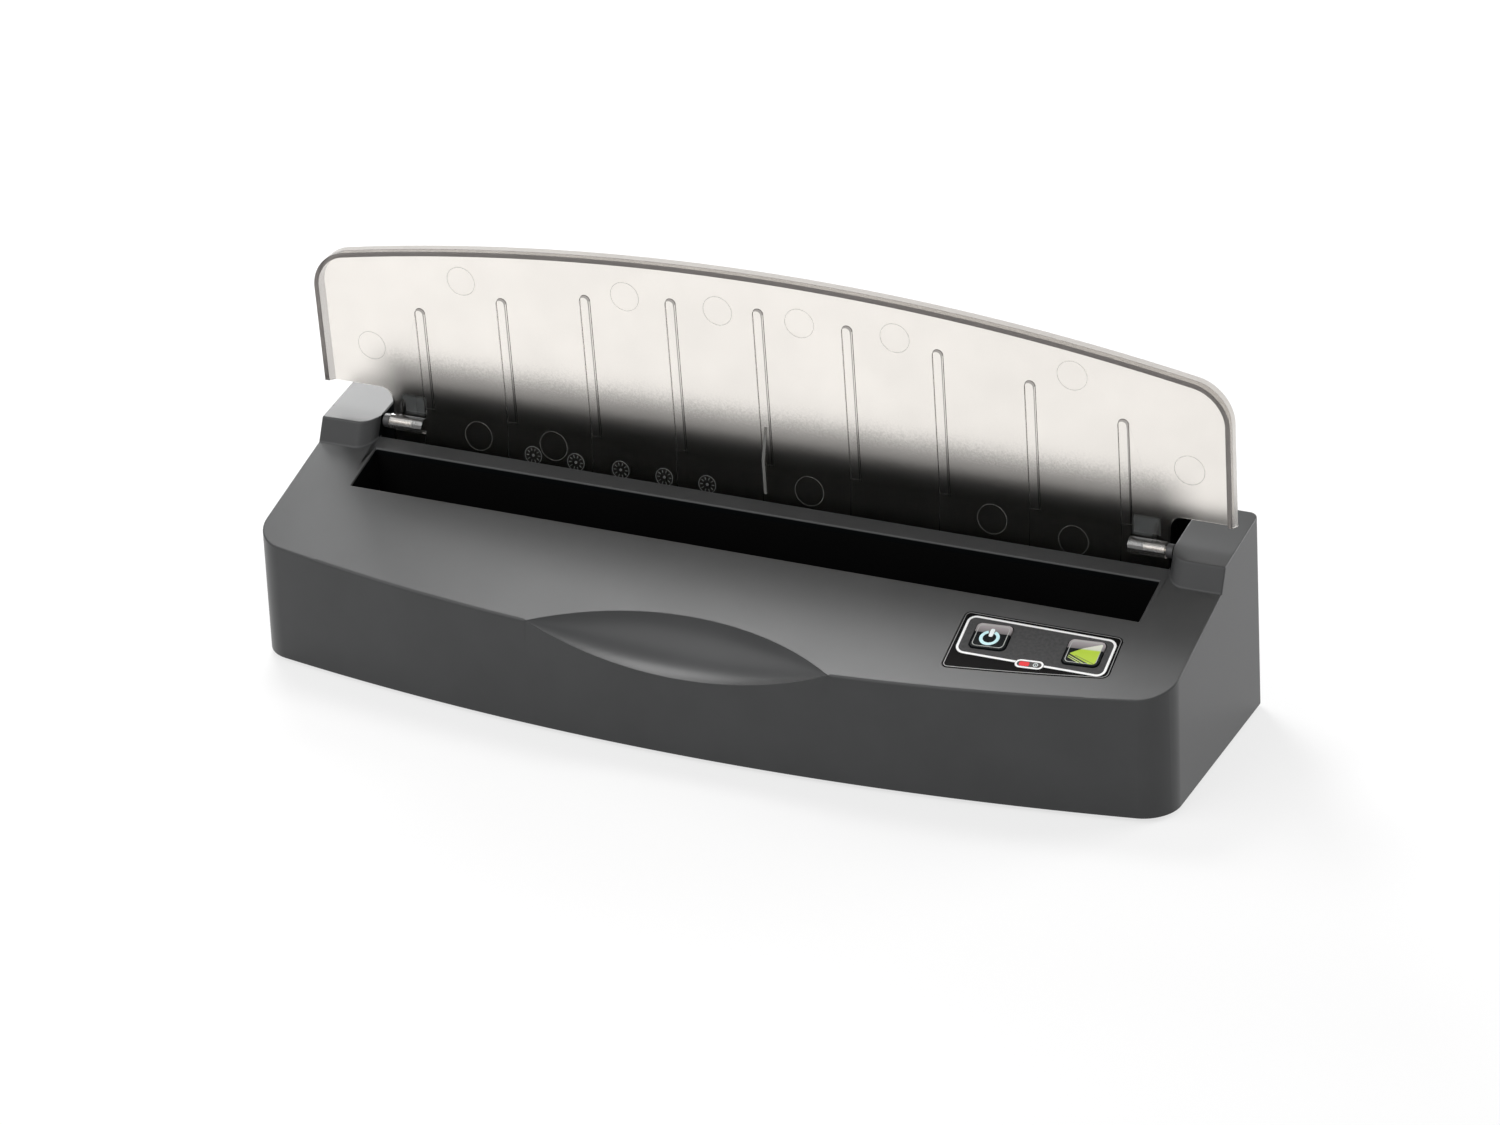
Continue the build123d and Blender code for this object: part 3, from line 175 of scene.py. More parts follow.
class BinderPanelSizes(bpy.types.PropertyGroup):
    """Sizes of the key panel."""

    left: length("Left", "Panel's back left corner, from the middle", 94.3)
    right: length("Right", "Panel's back right corner, from the middle", 153.2)
    back: length("Back", "Panel's back edge before the slot", 9)
    margin: length("Front margin", "Front ridge to the panel's front edge", 10.4)
    lean: turn("Lean", "Turn of the panel's sides and keys", 4)
    thickness: length("Thickness", "Thickness of the cover sheet", 0.8)
    corner: length("Corner", "Radius of the sheet's corners", 2.4)
    power_x: length("Power key", "Middle of the power key, from the middle", 107.7)
    start_x: length("Start key", "Middle of the start key, from the middle", 142.2)
    key_back: length("Key back", "Middle of the keys before the slot", 19.5)
    key_width: length("Key width", "Width of a key", 13.2)
    key_depth: length("Key depth", "Depth of a key", 12.2)
    key_corner: length("Key corner", "Radius of a key's corners", 2.0)
    key_rise: length("Key rise", "Key above the sheet", 0.5)
    lens_x: length("Lens", "Middle of the indicator, from the middle", 125.6)
    lens_back: length("Lens back", "Middle of the indicator before the slot", 29)
    lens_length: length("Lens length", "Length of the indicator", 10.3)
    lens_width: length("Lens width", "Width of the indicator", 4)
    line: length("Line", "Width of the printed line", 0.9)


class BinderFinishes(bpy.types.PropertyGroup):
    """Colours and sheens of the machine's surfaces."""

    casing: tint("Casing", "Charcoal of the moulded casing", (0.040, 0.041, 0.042))
    casing_rough: share("Casing roughness", "Roughness of the moulded casing", 0.36)
    # Painted shade: a near-black colour that stands in for the shade inside the slot and the
    # trough.
    pocket_shade: tint("Pockets", "Matt black inside the slot and the trough", (0.003, 0.0036, 0.004))
    base: tint("Base", "Colour of the base plate", (0.028, 0.029, 0.030))
    lid: tint("Lid", "Tint of the smoky lid", (0.82, 0.79, 0.752))
    lid_rim: tint("Lid rim", "Tint of the lid's rim, seen along the plastic", (0.52, 0.50, 0.48))
    lid_edge: tint("Lid edge", "Tint of the lid's edge, seen end on", (0.17, 0.155, 0.148))
    # Painted shade: a dark tint on the ribs' sides that draws their outlines.
    lid_line_shade: tint("Lid lines", "Tint of the sides of the ribs and marks", (0.16, 0.15, 0.145))
    lid_frost: share("Lid frost", "Roughness of the lid's textured outer face", 0.85)
    lid_polish: share("Lid polish", "Roughness of the lid's polished inner face", 0.18)
    sheet: tint("Sheet", "Gloss black of the panel's border", (0.004, 0.0038, 0.0038))
    field: tint("Field", "Textured grey inside the panel's line", (0.060, 0.060, 0.061))
    line: tint("Line", "Printed line round the panel", (0.90, 0.90, 0.90))
    key: tint("Key", "Gloss black of the keys", (0.006, 0.008, 0.009))
    key_sky: tint("Key upper part", "Pale upper part of the keys", (0.50, 0.46, 0.47))
    symbol: tint("Power symbol", "Pale cyan of the power symbol", (0.55, 0.86, 0.90))
    booklet: tint("Booklet", "Lime green of the booklet", (0.50, 0.68, 0.07))
    lamp: tint("Indicator", "Red of the indicator", (0.86, 0.015, 0.022))


class BinderStageSizes(bpy.types.PropertyGroup):
    """The plain stage, its lamps and the camera."""

    distance: length("Distance", "Camera's distance from the machine", 1918.37)
    azimuth: turn("Azimuth", "Camera's turn to the right of straight ahead", 26.70)
    elevation: turn("Elevation", "Camera's height as an angle", 27.31)
    roll: turn("Roll", "Camera's turn about its own axis", -3.14)
    lens: bpy.props.FloatProperty(
        name="Lens", description="Focal length of the camera, on a 36 mm sensor", default=129.61
    )
    rear: share("Rear lamp", "Power of the low lamp behind the machine, in watts", 6.0, 500.0)
    overhead: share(
        "Overhead lamp", "Power of the high lamp behind the machine, in watts", 4.6, 500.0
    )
    front: share("Front lamp", "Power of the lamp before the machine, in watts", 7.0, 500.0)
    side: share("Side lamp", "Power of the lamp at the right, in watts", 11.5, 500.0)
    room: share("Room light", "Strength of the even light all round", 0.40, 10.0)
    floor: tint("Floor", "Colour of the floor", (0.80, 0.80, 0.80))


GROUPS = {
    "binder_casing": BinderCasingSizes,
    "binder_lid": BinderLidSizes,
    "binder_panel": BinderPanelSizes,
    "binder_finish": BinderFinishes,
    "binder_stage": BinderStageSizes,
}

def setting_names(group):
    """The names of a group's own settings."""
    return [key for key in group.bl_rna.properties.keys() if key not in ("rna_type", "name")]


def millimetres(group):
    """The group's lengths in millimetres, and its angles and numbers as they are."""
    sizes = SimpleNamespace()
    for key in setting_names(group):
        value = getattr(group, key)
        is_length = group.bl_rna.properties[key].unit == "LENGTH"
        setattr(sizes, key, value / MM if is_length else value)
    return sizes


def frame_box(name):
    """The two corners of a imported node's box, in millimetres."""
    return [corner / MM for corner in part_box(name)]


# ------------------------------------------------------------------ layout of the machine
def layout(scene):
    """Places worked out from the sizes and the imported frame."""
    g = millimetres(scene.binder_casing)
    low, high = frame_box("upper_housing")
    g.half, g.front, g.rear, g.bottom, g.top = high.x, low.y, high.y, low.z, high.z
    g.height = g.top - g.bottom
    g.slot_front = g.front + g.slot_setback
    g.slot_back = g.slot_front + g.slot_width
    g.slot_end = g.slot_length / 2
    g.slot_z = g.bottom + g.slot_height
    g.trough_front = g.slot_back + g.strip
    g.trough_rear = g.trough_front + g.trough
    g.block_inner = g.slot_end + g.block_gap
    g.run = math.tan(g.slope)
    low, high = frame_box("hinge_pins")
    g.hinge = Vector((0, (low.y + high.y) / 2, (low.z + high.z) / 2))
    g.floor = g.hinge.z - g.trough_floor
    foot_y = g.slot_back - g.block_lead
    g.foot = (foot_y, slope_z(g, foot_y))
    lean, tilt = g.block_lean, math.tan(g.block_top)
    face = (top_z(g, foot_y) - g.foot[1]) / (math.cos(lean) - math.sin(lean) * tilt)
    g.brow = (foot_y + face * math.sin(lean), g.foot[1] + face * math.cos(lean))
    draft = g.front_draft / g.height
    g.ridge_y = (g.front + draft * (g.slot_height - g.slot_front * g.run)) / (1 - draft * g.run)
    g.ridge_z = slope_z(g, g.ridge_y)
    back = Vector((g.scoop_reach * math.cos(g.slope), g.scoop_reach * math.sin(g.slope)))
    front = Vector((-g.scoop_drop * draft, -g.scoop_drop))
    chord = back - front
    g.scoop_radius = chord.length / 2 / math.sin(g.scoop_turn / 2)
    rise = g.scoop_radius * math.cos(g.scoop_turn / 2) / chord.length
    g.scoop_centre = (back + front) / 2 + Vector((-chord.y, chord.x)) * rise
    g.scoop_bow = (g.scoop_half**2 + g.scoop_reach**2) / (2 * g.scoop_reach)
    g.panel_frame = at(0, g.slot_front, g.slot_z) @ Matrix.Rotation(g.slope, 4, "X")
    return g


def slope_z(g, y):
    """Height of the working face at a depth y."""
    return g.slot_z + (y - g.slot_front) * g.run


def top_z(g, y):
    """Height of the hinge blocks' top at a depth y."""
    rise = g.block_rise / math.cos(g.block_top)
    return g.hinge.z + rise + (y - g.hinge.y) * math.tan(g.block_top)


def bow(x, radius):
    """How far a bowed edge has fallen back at x."""
    return radius - math.sqrt(radius**2 - x**2)


def key_frame(g, p, x, back, height=0.0):
    """Frame of a key or of the indicator on the working face."""
    return g.panel_frame @ at(x, -back, height) @ Matrix.Rotation(p.lean, 4, "Z")


# ------------------------------------------------------------------ shaping helpers
def at(x=0.0, y=0.0, z=0.0):
    """A frame that is moved to a point and not turned."""
    return Matrix.Translation((x, y, z))


def move(bm, matrix):
    """Move a whole shape."""
    bmesh.ops.transform(bm, matrix=matrix, verts=bm.verts)
    return bm


def outward(bm):
    """Turn the faces of a closed shape outwards."""
    bmesh.ops.recalc_face_normals(bm, faces=bm.faces)
    return bm


def span(edge, axis):
    """How far an edge runs along an axis."""
    return abs(edge.verts[0].co[axis] - edge.verts[1].co[axis])


def edges_where(bm, rule):
    """The edges whose two ends keep a rule."""
    return [edge for edge in bm.edges if all(rule(vert.co) for vert in edge.verts)]


def edges_at(bm, axis, *places):
    """The edges that lie in planes across an axis."""
    near = edges_where(bm, lambda co: min(abs(co[axis] - place) for place in places) < CLOSE)
    return [edge for edge in near if span(edge, axis) < CLOSE]


def divide_level(bm, y, cuts):
    """Divide the level edges at a depth y, so that they can follow a bow."""
    level = [edge for edge in edges_at(bm, 1, y) if span(edge, 2) < CLOSE]
    bmesh.ops.subdivide_edges(bm, edges=level, cuts=cuts, use_grid_fill=True)


def once(items):
    """Items in their order, each of them once."""
    return list(dict.fromkeys(items))


def bevel(bm, edges, radius, segments):
    """Round edges with a bevel."""
    bmesh.ops.bevel(
        bm, geom=edges, offset=radius, offset_type="OFFSET", segments=segments, profile=0.5,
        affect="EDGES", material=-1, clamp_overlap=True,
    )


def prism(points, depth, place=Matrix(), radii=None, segments=8):
    """A closed prism: an outline in a frame's XY plane, drawn out along its Z."""
    bm = bmesh.new()
    face = bm.faces.new([bm.verts.new((x, y, 0)) for x, y in points])
    lower = list(face.verts)
    grown = bmesh.ops.extrude_face_region(bm, geom=[face])["geom"]
    raised = {item for item in grown if isinstance(item, bmesh.types.BMVert)}
    bmesh.ops.translate(bm, verts=list(raised), vec=(0, 0, depth))
    if radii:
        uprights = [
            next(edge for edge in vert.link_edges if edge.other_vert(vert) in raised)
            for vert in lower
        ]
        for radius in sorted(set(radii) - {0}):
            chosen = [edge for edge, own in zip(uprights, radii) if own == radius]
            bevel(bm, chosen, radius, segments)
    return outward(move(bm, place))


def block(low, high):
    """A closed box between two corners."""
    bm = bmesh.new()
    bmesh.ops.create_cube(bm, size=1.0)
    low, high = Vector(low), Vector(high)
    bmesh.ops.scale(bm, vec=high - low, verts=bm.verts)
    bmesh.ops.translate(bm, vec=(low + high) / 2, verts=bm.verts)
    return bm


def corners(wide, deep):
    """The corners of a centred rectangle."""
    x, y = wide / 2, deep / 2
    return [(-x, -y), (x, -y), (x, y), (-x, y)]


def plate(wide, deep, depth, place, radius, segments=8):
    """A closed flat block with rounded corners."""
    return prism(corners(wide, deep), depth, place, [radius] * 4, segments)


def pill(long, wide, depth, place, segments=10):
    """A closed bar with round ends."""
    return plate(long, wide, depth, place, wide / 2 - CLOSE, segments)


def rod(radius, depth, place, segments=48):
    """A closed cylinder along a frame's Z, from its origin."""
    bm = bmesh.new()
    bmesh.ops.create_cone(
        bm, cap_ends=True, segments=segments, radius1=radius, radius2=radius, depth=depth,
        matrix=place @ at(0, 0, depth / 2),
    )
    return bm


def side_rod(axis, side, near, far, radius, segments=40):
    """A closed rod along X on one side, between two distances from the middle."""
    return rod(radius, far - near, axis @ at(min(side * near, side * far)) @ ALONG, segments)


def hoop(radius, wide, depth, steps=40, place=Matrix()):
    """A closed flat ring about a frame's Z."""
    bm = bmesh.new()
    low, high = radius - wide / 2, radius + wide / 2
    points = [(low, 0, 0), (high, 0, 0), (high, 0, depth), (low, 0, depth)]
    verts = [bm.verts.new(point) for point in points]
    edges = [bm.edges.new((verts[i], verts[(i + 1) % 4])) for i in range(4)]
    bmesh.ops.spin(
        bm, geom=[*verts, *edges], cent=(0, 0, 0), axis=(0, 0, 1), angle=math.tau, steps=steps,
        use_merge=True, use_normal_flip=False, use_duplicate=False,
    )
    bmesh.ops.remove_doubles(bm, verts=bm.verts, dist=1e-4)
    return move(outward(bm), place)


def arc_bar(radius, wide, start, angle, depth, steps):
    """A closed flat bar bent round a frame's Z."""
    turns = [start + angle * index / steps for index in range(steps + 1)]
    low, high = radius - wide / 2, radius + wide / 2
    points = [(low * math.cos(a), low * math.sin(a)) for a in turns]
    points += [(high * math.cos(a), high * math.sin(a)) for a in reversed(turns)]
    return prism(points, depth)


def ring(points, radii, wide, depth, place, segments=8):
    """A closed flat ring: an outline with its middle left open."""
    bm = prism(points, depth, Matrix(), radii, segments)
    caps = [face for face in bm.faces if abs(face.normal.z) > 0.9]
    for cap in caps:
        bmesh.ops.inset_region(bm, faces=[cap], thickness=wide, use_even_offset=True)
    edges = [edge for cap in caps for edge in cap.edges]
    bmesh.ops.delete(bm, geom=caps, context="FACES_ONLY")
    bmesh.ops.bridge_loops(bm, edges=edges)
    return outward(move(bm, place))


def stripe(start, end, half, depth, place):
    """A closed thin bar between two points of a frame's XY plane."""
    run = end - start
    aside = Vector((-run.y, run.x)).normalized() * half
    points = (start - aside, end - aside, end + aside, start + aside)
    return prism([tuple(point) for point in points], depth, place)


def gather(shapes):
    """Several shapes in one mesh; the shapes are used up."""
    total = bmesh.new()
    for shape in shapes:
        mesh = bpy.data.meshes.new("part")
        shape.to_mesh(mesh)
        shape.free()
        total.from_mesh(mesh)
        bpy.data.meshes.remove(mesh)
    return total


def settle(bm):
    """Order a mesh by place. Blender's own order differs from run to run, and cuts follow it."""
    ordered = sorted(bm.verts, key=lambda vert: [round(value, 3) for value in vert.co.yxz])
    rank = {vert: index for index, vert in enumerate(ordered)}
    bm.verts.sort(key=rank.get)
    for parts in (bm.edges, bm.faces):
        ordered = sorted(parts, key=lambda part: sorted(rank[vert] for vert in part.verts))
        rank_of = {part: index for index, part in enumerate(ordered)}
        parts.sort(key=rank_of.get)


def work_object(bm):
    """A short-lived object that a modifier can work on."""
    settle(bm)
    mesh = bpy.data.meshes.new("work")
    bm.to_mesh(mesh)
    thing = bpy.data.objects.new("work", mesh)
    bpy.context.scene.collection.objects.link(thing)
    return thing


def take_result(bm, thing):
    """Put a work object's finished mesh back into the bmesh."""
    bpy.context.view_layer.update()
    graph = bpy.context.evaluated_depsgraph_get()
    result = bpy.data.meshes.new_from_object(thing.evaluated_get(graph))
    bm.clear()
    bm.from_mesh(result)
    bpy.data.meshes.remove(result)
    bmesh.ops.remove_doubles(bm, verts=bm.verts, dist=MERGE)


def drop_object(thing):
    """Remove a work object and its mesh."""
    mesh = thing.data
    bpy.data.objects.remove(thing)
    bpy.data.meshes.remove(mesh)


def combine(bm, tool, operation="DIFFERENCE", flatten=True):
    """Cut a closed shape out of another, or join it on. The tool is used up."""
    base, cutter = work_object(bm), work_object(tool)
    tool.free()
    step = base.modifiers.new("combine", "BOOLEAN")
    step.operation = operation
    step.solver = "EXACT"
    step.use_self = False
    step.object = cutter
    take_result(bm, base)
    drop_object(base)
    drop_object(cutter)
    if not bm.faces:
        raise RuntimeError("a shape was lost while it was cut")
    if flatten:
        clean(bm)
    return bm


def clean(bm):
    """Take out edges that lie in a flat face."""
    bmesh.ops.dissolve_degenerate(bm, edges=bm.edges, dist=MERGE)
    bmesh.ops.dissolve_limit(
        bm, angle_limit=math.radians(0.05), verts=bm.verts, edges=bm.edges, delimit={"MATERIAL"}
    )


def split(bm, axis, value, wanted=None):
    """Cut faces along a plane across an axis, so that none of them runs round a hole."""
    geom = [*bm.verts, *bm.edges, *bm.faces]
    if wanted:
        faces = [face for face in bm.faces if wanted(face.calc_center_median())]
        edges = once(edge for face in faces for edge in face.edges)
        verts = once(vert for face in faces for vert in face.verts)
        geom = [*verts, *edges, *faces]
    normal = Vector([float(axis == own) for own in range(3)])
    bmesh.ops.bisect_plane(bm, geom=geom, dist=1e-4, plane_co=normal * value, plane_no=normal)


def soften(bm, rule, segments=3):
    """Round edges with the radius that a rule gives for the middle of each one."""
    name = "bevel_weight_edge"
    weight = bm.edges.layers.float.get(name) or bm.edges.layers.float.new(name)
    for edge in bm.edges:
        edge[weight] = 0.0
        if len(edge.link_faces) == 2 and edge.calc_face_angle() > SOFT_ANGLE:
            edge[weight] = rule((edge.verts[0].co + edge.verts[1].co) / 2)
    thing = work_object(bm)
    step = thing.modifiers.new("soften", "BEVEL")
    step.width = 1.0
    step.segments = segments
    step.limit_method = "WEIGHT"
    step.use_clamp_overlap = False
    step.profile = 0.5
    step.material = -1
    take_result(bm, thing)
    drop_object(thing)
    layer = bm.edges.layers.float.get(name)
    if layer:
        bm.edges.layers.float.remove(layer)


def complete(name, bm, body, materials, replaced=(), sharp=38.0):
    """Turn a shape into a finished piece that rides on its body."""
    bmesh.ops.scale(bm, vec=(MM, MM, MM), verts=bm.verts)
    for face in bm.faces:
        face.smooth = True
    mesh = bpy.data.meshes.new(name)
    bm.to_mesh(mesh)
    bm.free()
    mesh.set_sharp_from_angle(angle=math.radians(sharp))
    piece = bpy.data.objects.new(name, mesh)
    bpy.context.scene.collection.objects.link(piece)
    for material in materials:
        mesh.materials.append(material)
    step = piece.modifiers.new("even shading", "WEIGHTED_NORMAL")
    step.keep_sharp = True
    step.weight = 80
    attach(piece, body)
    if replaced:
        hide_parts(*replaced)
    return piece


# ------------------------------------------------------------------ materials
RELIEF = 0.02  # height of a full bump, in mm
# Painted shade on the lid's frosted face: its colour darkens towards the hinge, standing in for the
# dark trough seen through it.
SHADE_TONES = ((0.30, 0.15), (0.45, 0.33), (0.58, 0.76), (0.72, 0.95))
SHADE_FLOOR = 0.12  # what is left of the lid's colour at its darkest
SHADE_SPECKLE = 5.0  # how far fine speckle shifts the painted shade, in mm
SHADE_HEIGHTS = (80.5, 110.5)  # the painted shade darkens the lid from the upper to the lower of these, in mm
SHADE_SIDES = (168.0, 148.0)  # the painted shade sets in between these distances from the middle, in mm


def node(tree, kind, sockets=(), **settings):
    """A new shader node, with values for its sockets and its settings."""
    made = tree.nodes.new("ShaderNode" + kind)
    for key, value in settings.items():
        setattr(made, key, value)
    for socket, value in dict(sockets).items():
        made.inputs[socket].default_value = value
    return made


def link(tree, source, made, socket):
    """Join a socket to one of a node's inputs, and give the node back."""
    tree.links.new(source, made.inputs[socket])
    return made


def noise_of(tree, source, scale, detail, roughness=0.5):
    """Noise on the coordinates that a socket gives."""
    sockets = {"Scale": scale, "Detail": detail, "Roughness": roughness}
    return link(tree, source, node(tree, "TexNoise", sockets), "Vector").outputs["Fac"]


def raise_relief(tree, shader, height, strength):
    """Fine relief on a shader's normal."""
    bump = node(tree, "Bump", {"Strength": strength, "Distance": RELIEF * MM})
    link(tree, height, bump, "Height")
    link(tree, bump.outputs["Normal"], shader, "Normal")


def object_place(tree):
    """The piece's own coordinates."""
    return node(tree, "TexCoord").outputs["Object"]


def new_material(name):
    """A material with only its shader, and its node tree."""
    material = bpy.data.materials.new(name)
    material.use_nodes = True
    tree = material.node_tree
    return material, tree, tree.nodes["Principled BSDF"]


def mottle(tree, place, colour, spread, scale):
    """A colour that drifts a little over the surface, and the noise that it follows."""
    noise = noise_of(tree, place, scale, 4.0)
    ramp = link(tree, noise, node(tree, "ValToRGB"), "Fac")
    stops = ramp.color_ramp.elements
    for stop, position, factor in zip(stops, (0.3, 0.7), (1 - spread, 1 + spread)):
        stop.position = position
        stop.color = [min(c * factor, 1) for c in colour] + [1]
    return ramp.outputs["Color"], noise


def vary_roughness(tree, shader, noise, low, high):
    """Roughness that drifts between two values."""
    scale = link(tree, noise, node(tree, "MapRange", {"To Min": low, "To Max": high}), "Value")
    link(tree, scale.outputs["Result"], shader, "Roughness")


def moulded(
    name, colour, rough, grain=2600.0, depth=0.12, spread=0.06, drift=38.0, specular=0.5
):
    """Moulded plastic: fine grain, a slight drift in colour and sheen."""
    material, tree, shader = new_material(name)
    place = object_place(tree)
    raise_relief(tree, shader, noise_of(tree, place, grain, 3.0, 0.6), depth)
    output, noise = mottle(tree, place, colour, spread, drift)
    link(tree, output, shader, "Base Color")
    vary_roughness(tree, shader, noise, rough - 0.03, rough + 0.03)
    shader.inputs["Specular IOR Level"].default_value = specular
    return material


def ink(name, colour, rough=0.3, spread=0.04):
    """Print on plastic, almost smooth."""
    return moulded(name, colour, rough, 1500.0, 0.04, spread)


def metal(name, colour, rough, stretch=(1, 40, 40)):
    """Drawn or turned metal with fine lines along it."""
    material, tree, shader = new_material(name)
    place = object_place(tree)
    along = link(tree, place, node(tree, "Mapping", {"Scale": stretch}), "Vector")
    raise_relief(tree, shader, noise_of(tree, along.outputs["Vector"], 160.0, 4.0), 0.12)
    output, noise = mottle(tree, place, colour, 0.08, 90.0)
    link(tree, output, shader, "Base Color")
    vary_roughness(tree, shader, noise, rough * 0.8, rough * 1.2)
    shader.inputs["Metallic"].default_value = 1.0
    return material


def painted_shade_below(tree, place, colour):
    """Painted shade: a colour that deepens towards the hinge, between two heights, standing in for
    the dark trough seen through the lid.
    """
    parts = link(tree, place, node(tree, "SeparateXYZ"), "Vector")
    speckle = noise_of(tree, place, 1500.0, 1.0)
    shaken = node(tree, "Math", {1: SHADE_SPECKLE * MM}, operation="MULTIPLY_ADD")
    link(tree, speckle, shaken, 0)
    link(tree, parts.outputs["Z"], shaken, 2)
    ends = [(value + SHADE_SPECKLE / 2) * MM for value in SHADE_HEIGHTS]
    height = node(tree, "MapRange", {"From Min": ends[0], "From Max": ends[1]})
    link(tree, shaken.outputs[0], height, "Value")
    ramp = link(tree, height.outputs["Result"], node(tree, "ValToRGB"), "Fac")
    ramp.color_ramp.interpolation = "B_SPLINE"
    stops = ramp.color_ramp.elements
    stops[0].color = (SHADE_FLOOR, SHADE_FLOOR, SHADE_FLOOR, 1)
    stops[1].color = (1, 1, 1, 1)
    for position, level in SHADE_TONES:
        stops.new(position).color = (level, level, level, 1)
    aside = link(tree, parts.outputs["X"], node(tree, "Math", operation="ABSOLUTE"), 0)
    reach = {"From Min": SHADE_SIDES[0] * MM, "From Max": SHADE_SIDES[1] * MM}
    between = node(tree, "MapRange", reach, interpolation_type="SMOOTHSTEP")
    link(tree, aside.outputs[0], between, "Value")
    mix = node(tree, "Mix", data_type="RGBA", blend_type="MULTIPLY")
    link(tree, between.outputs["Result"], mix, "Factor")
    link(tree, colour, mix, "A")
    return link(tree, ramp.outputs["Color"], mix, "B").outputs["Result"]


def smoky(name, colour, rough, grain, depth, clear=1.0, paint_shade=False, bend=1.19):
    """Clear tinted plastic; a rough one has a frosted texture, and it may carry painted shade that
    deepens towards the hinge.
    """
    material, tree, shader = new_material(name)
    place = object_place(tree)
    raise_relief(tree, shader, noise_of(tree, place, grain, 3.0, 0.6), depth)
    output, _ = mottle(tree, place, colour, 0.025, 55.0)
    if paint_shade:
        output = painted_shade_below(tree, place, output)
    link(tree, output, shader, "Base Color")
    for socket, value in (("Roughness", rough), ("Transmission Weight", clear), ("IOR", bend)):
        shader.inputs[socket].default_value = value
    return material


def gradient_gloss(name, low, sky, edge, soft, first=0.42):
    """Gloss colour that turns pale over the upper part of a key's face."""
    material, tree, shader = new_material(name)
    place = node(tree, "TexCoord")
    parts = link(tree, place.outputs["UV"], node(tree, "SeparateXYZ"), "Vector")
    ramp = link(tree, parts.outputs["Y"], node(tree, "ValToRGB"), "Fac")
    link(tree, ramp.outputs["Color"], shader, "Base Color")
    stops = ramp.color_ramp.elements
    stops[0].position, stops[0].color = edge, (*low, 1)
    stops[1].position, stops[1].color = 1.0, (*sky, 1)
    stops.new(edge + soft).color = (*[first * c for c in sky], 1)
    raise_relief(tree, shader, noise_of(tree, place.outputs["Object"], 700.0, 2.0), 0.03)
    shader.inputs["Roughness"].default_value = 0.14
    shader.inputs["Specular IOR Level"].default_value = 0.03
    return material


# ------------------------------------------------------------------ casing
BOW_CUTS = 55  # cuts along a bowed edge
WELL_MOUTH = 14.0  # depth of the slot's walls that belong to the casing, in mm
KEY_GAP = 0.3  # clearance round the keys and the indicator, in mm
INLET_WIDE, INLET_HIGH, INLET_CORNER = 20.0, 12.6, 3.0  # the inlet's body, in mm
INLET_GAP = 0.3  # by how much the inlet's hole is larger than the inlet, in mm
PIN_HOLE, PIN_HOLE_DEPTH = 1.28, 8.5  # the hinge pins' holes, radius and depth, in mm


def casing_block(g, inset):
    """The casing's tapered block, bowed in front, with its four corners rounded."""
    side, front, rear = g.half - inset, g.front + inset, g.rear - inset
    near, far = (max(corner - inset, 0.8) for corner in (g.front_corner, g.rear_corner))
    points = [(-side, front), (side, front), (side, rear), (-side, rear)]
    bm = prism(points, g.height, at(0, 0, g.bottom), [near, near, far, far], 12)
    divide_level(bm, front, BOW_CUTS)
    for vert in bm.verts:
        height = (vert.co.z - g.bottom) / g.height
        if vert.co.y < 0:
            vert.co.y += bow(vert.co.x, g.bow_radius) + g.front_draft * height
        else:
            vert.co.y -= g.rear_draft * height
        vert.co.x *= 1 - g.side_draft * height / g.half
    return bm


def over_casing(g, drop):
    """All that lies over the casing's tops, lowered by a wall."""
    foot_y, brow_y = (place[0] + drop / math.cos(g.block_lean) for place in (g.foot, g.brow))
    slope_drop, top_drop = drop / math.cos(g.slope), drop / math.cos(g.block_top)
    points = [
        (-FAR, slope_z(g, -FAR) - slope_drop),
        (foot_y, slope_z(g, foot_y) - slope_drop),
        (brow_y, top_z(g, brow_y) - top_drop),
        (FAR, top_z(g, FAR) - top_drop),
        (FAR, FAR),
        (-FAR, FAR),
    ]
    return prism(points, 2 * FAR, at(-FAR) @ SIDE)


def over_slope(g, drop, rear):
    """The field between the hinge blocks, over the working face."""
    lowered = drop / math.cos(g.slope)
    front = g.foot[0] + drop / math.cos(g.block_lean)
    inner = g.block_inner + drop
    points = [
        (front, slope_z(g, front) - lowered),
        (rear, slope_z(g, rear) - lowered),
        (rear, FAR),
        (front, FAR),
    ]
    return prism(points, 2 * inner, at(-inner) @ SIDE)


def round_block_corners(g, bm):
    """Round the leaning edges where the blocks' faces meet their inner sides."""

    def on_block(co):
        return abs(abs(co.x) - g.block_inner) < 0.05 and g.foot[0] - 1 < co.y < g.brow[0] + 5

    edges = [e for e in edges_where(bm, on_block) if span(e, 2) > 5 and span(e, 1) > 1]
    if len(edges) != 2:
        raise RuntimeError(f"found {len(edges)} leaning block edges instead of 2")
    bevel(bm, edges, g.block_corner, 12)


def scoop_tool(g, spare=0.0, stations=48, segments=96):
    """The hollow of the finger scoop: circles that shrink towards its two tips."""
    bm = bmesh.new()
    before = None
    for index in range(stations + 1):
        x = (g.scoop_half + spare) * (2 * index / stations - 1)
        size = max(1 - bow(min(abs(x), g.scoop_half), g.scoop_bow) / g.scoop_reach, 0)
        fallen = bow(x, g.bow_radius)
        y = g.ridge_y + fallen + size * g.scoop_centre.x
        z = g.ridge_z + fallen * g.run + size * g.scoop_centre.y
        circle = bmesh.ops.create_circle(
            bm, cap_ends=index in (0, stations), segments=segments,
            radius=size * g.scoop_radius + max(spare, 0.03), matrix=at(x, y, z) @ ALONG,
        )["verts"]
        own = once(edge for vert in circle for edge in vert.link_edges)
        if before:
            bmesh.ops.bridge_loops(bm, edges=before + own)
        joined = once(edge for vert in circle for edge in vert.link_edges)
        before = [edge for edge in joined if span(edge, 0) < 1e-5]
    return outward(bm)


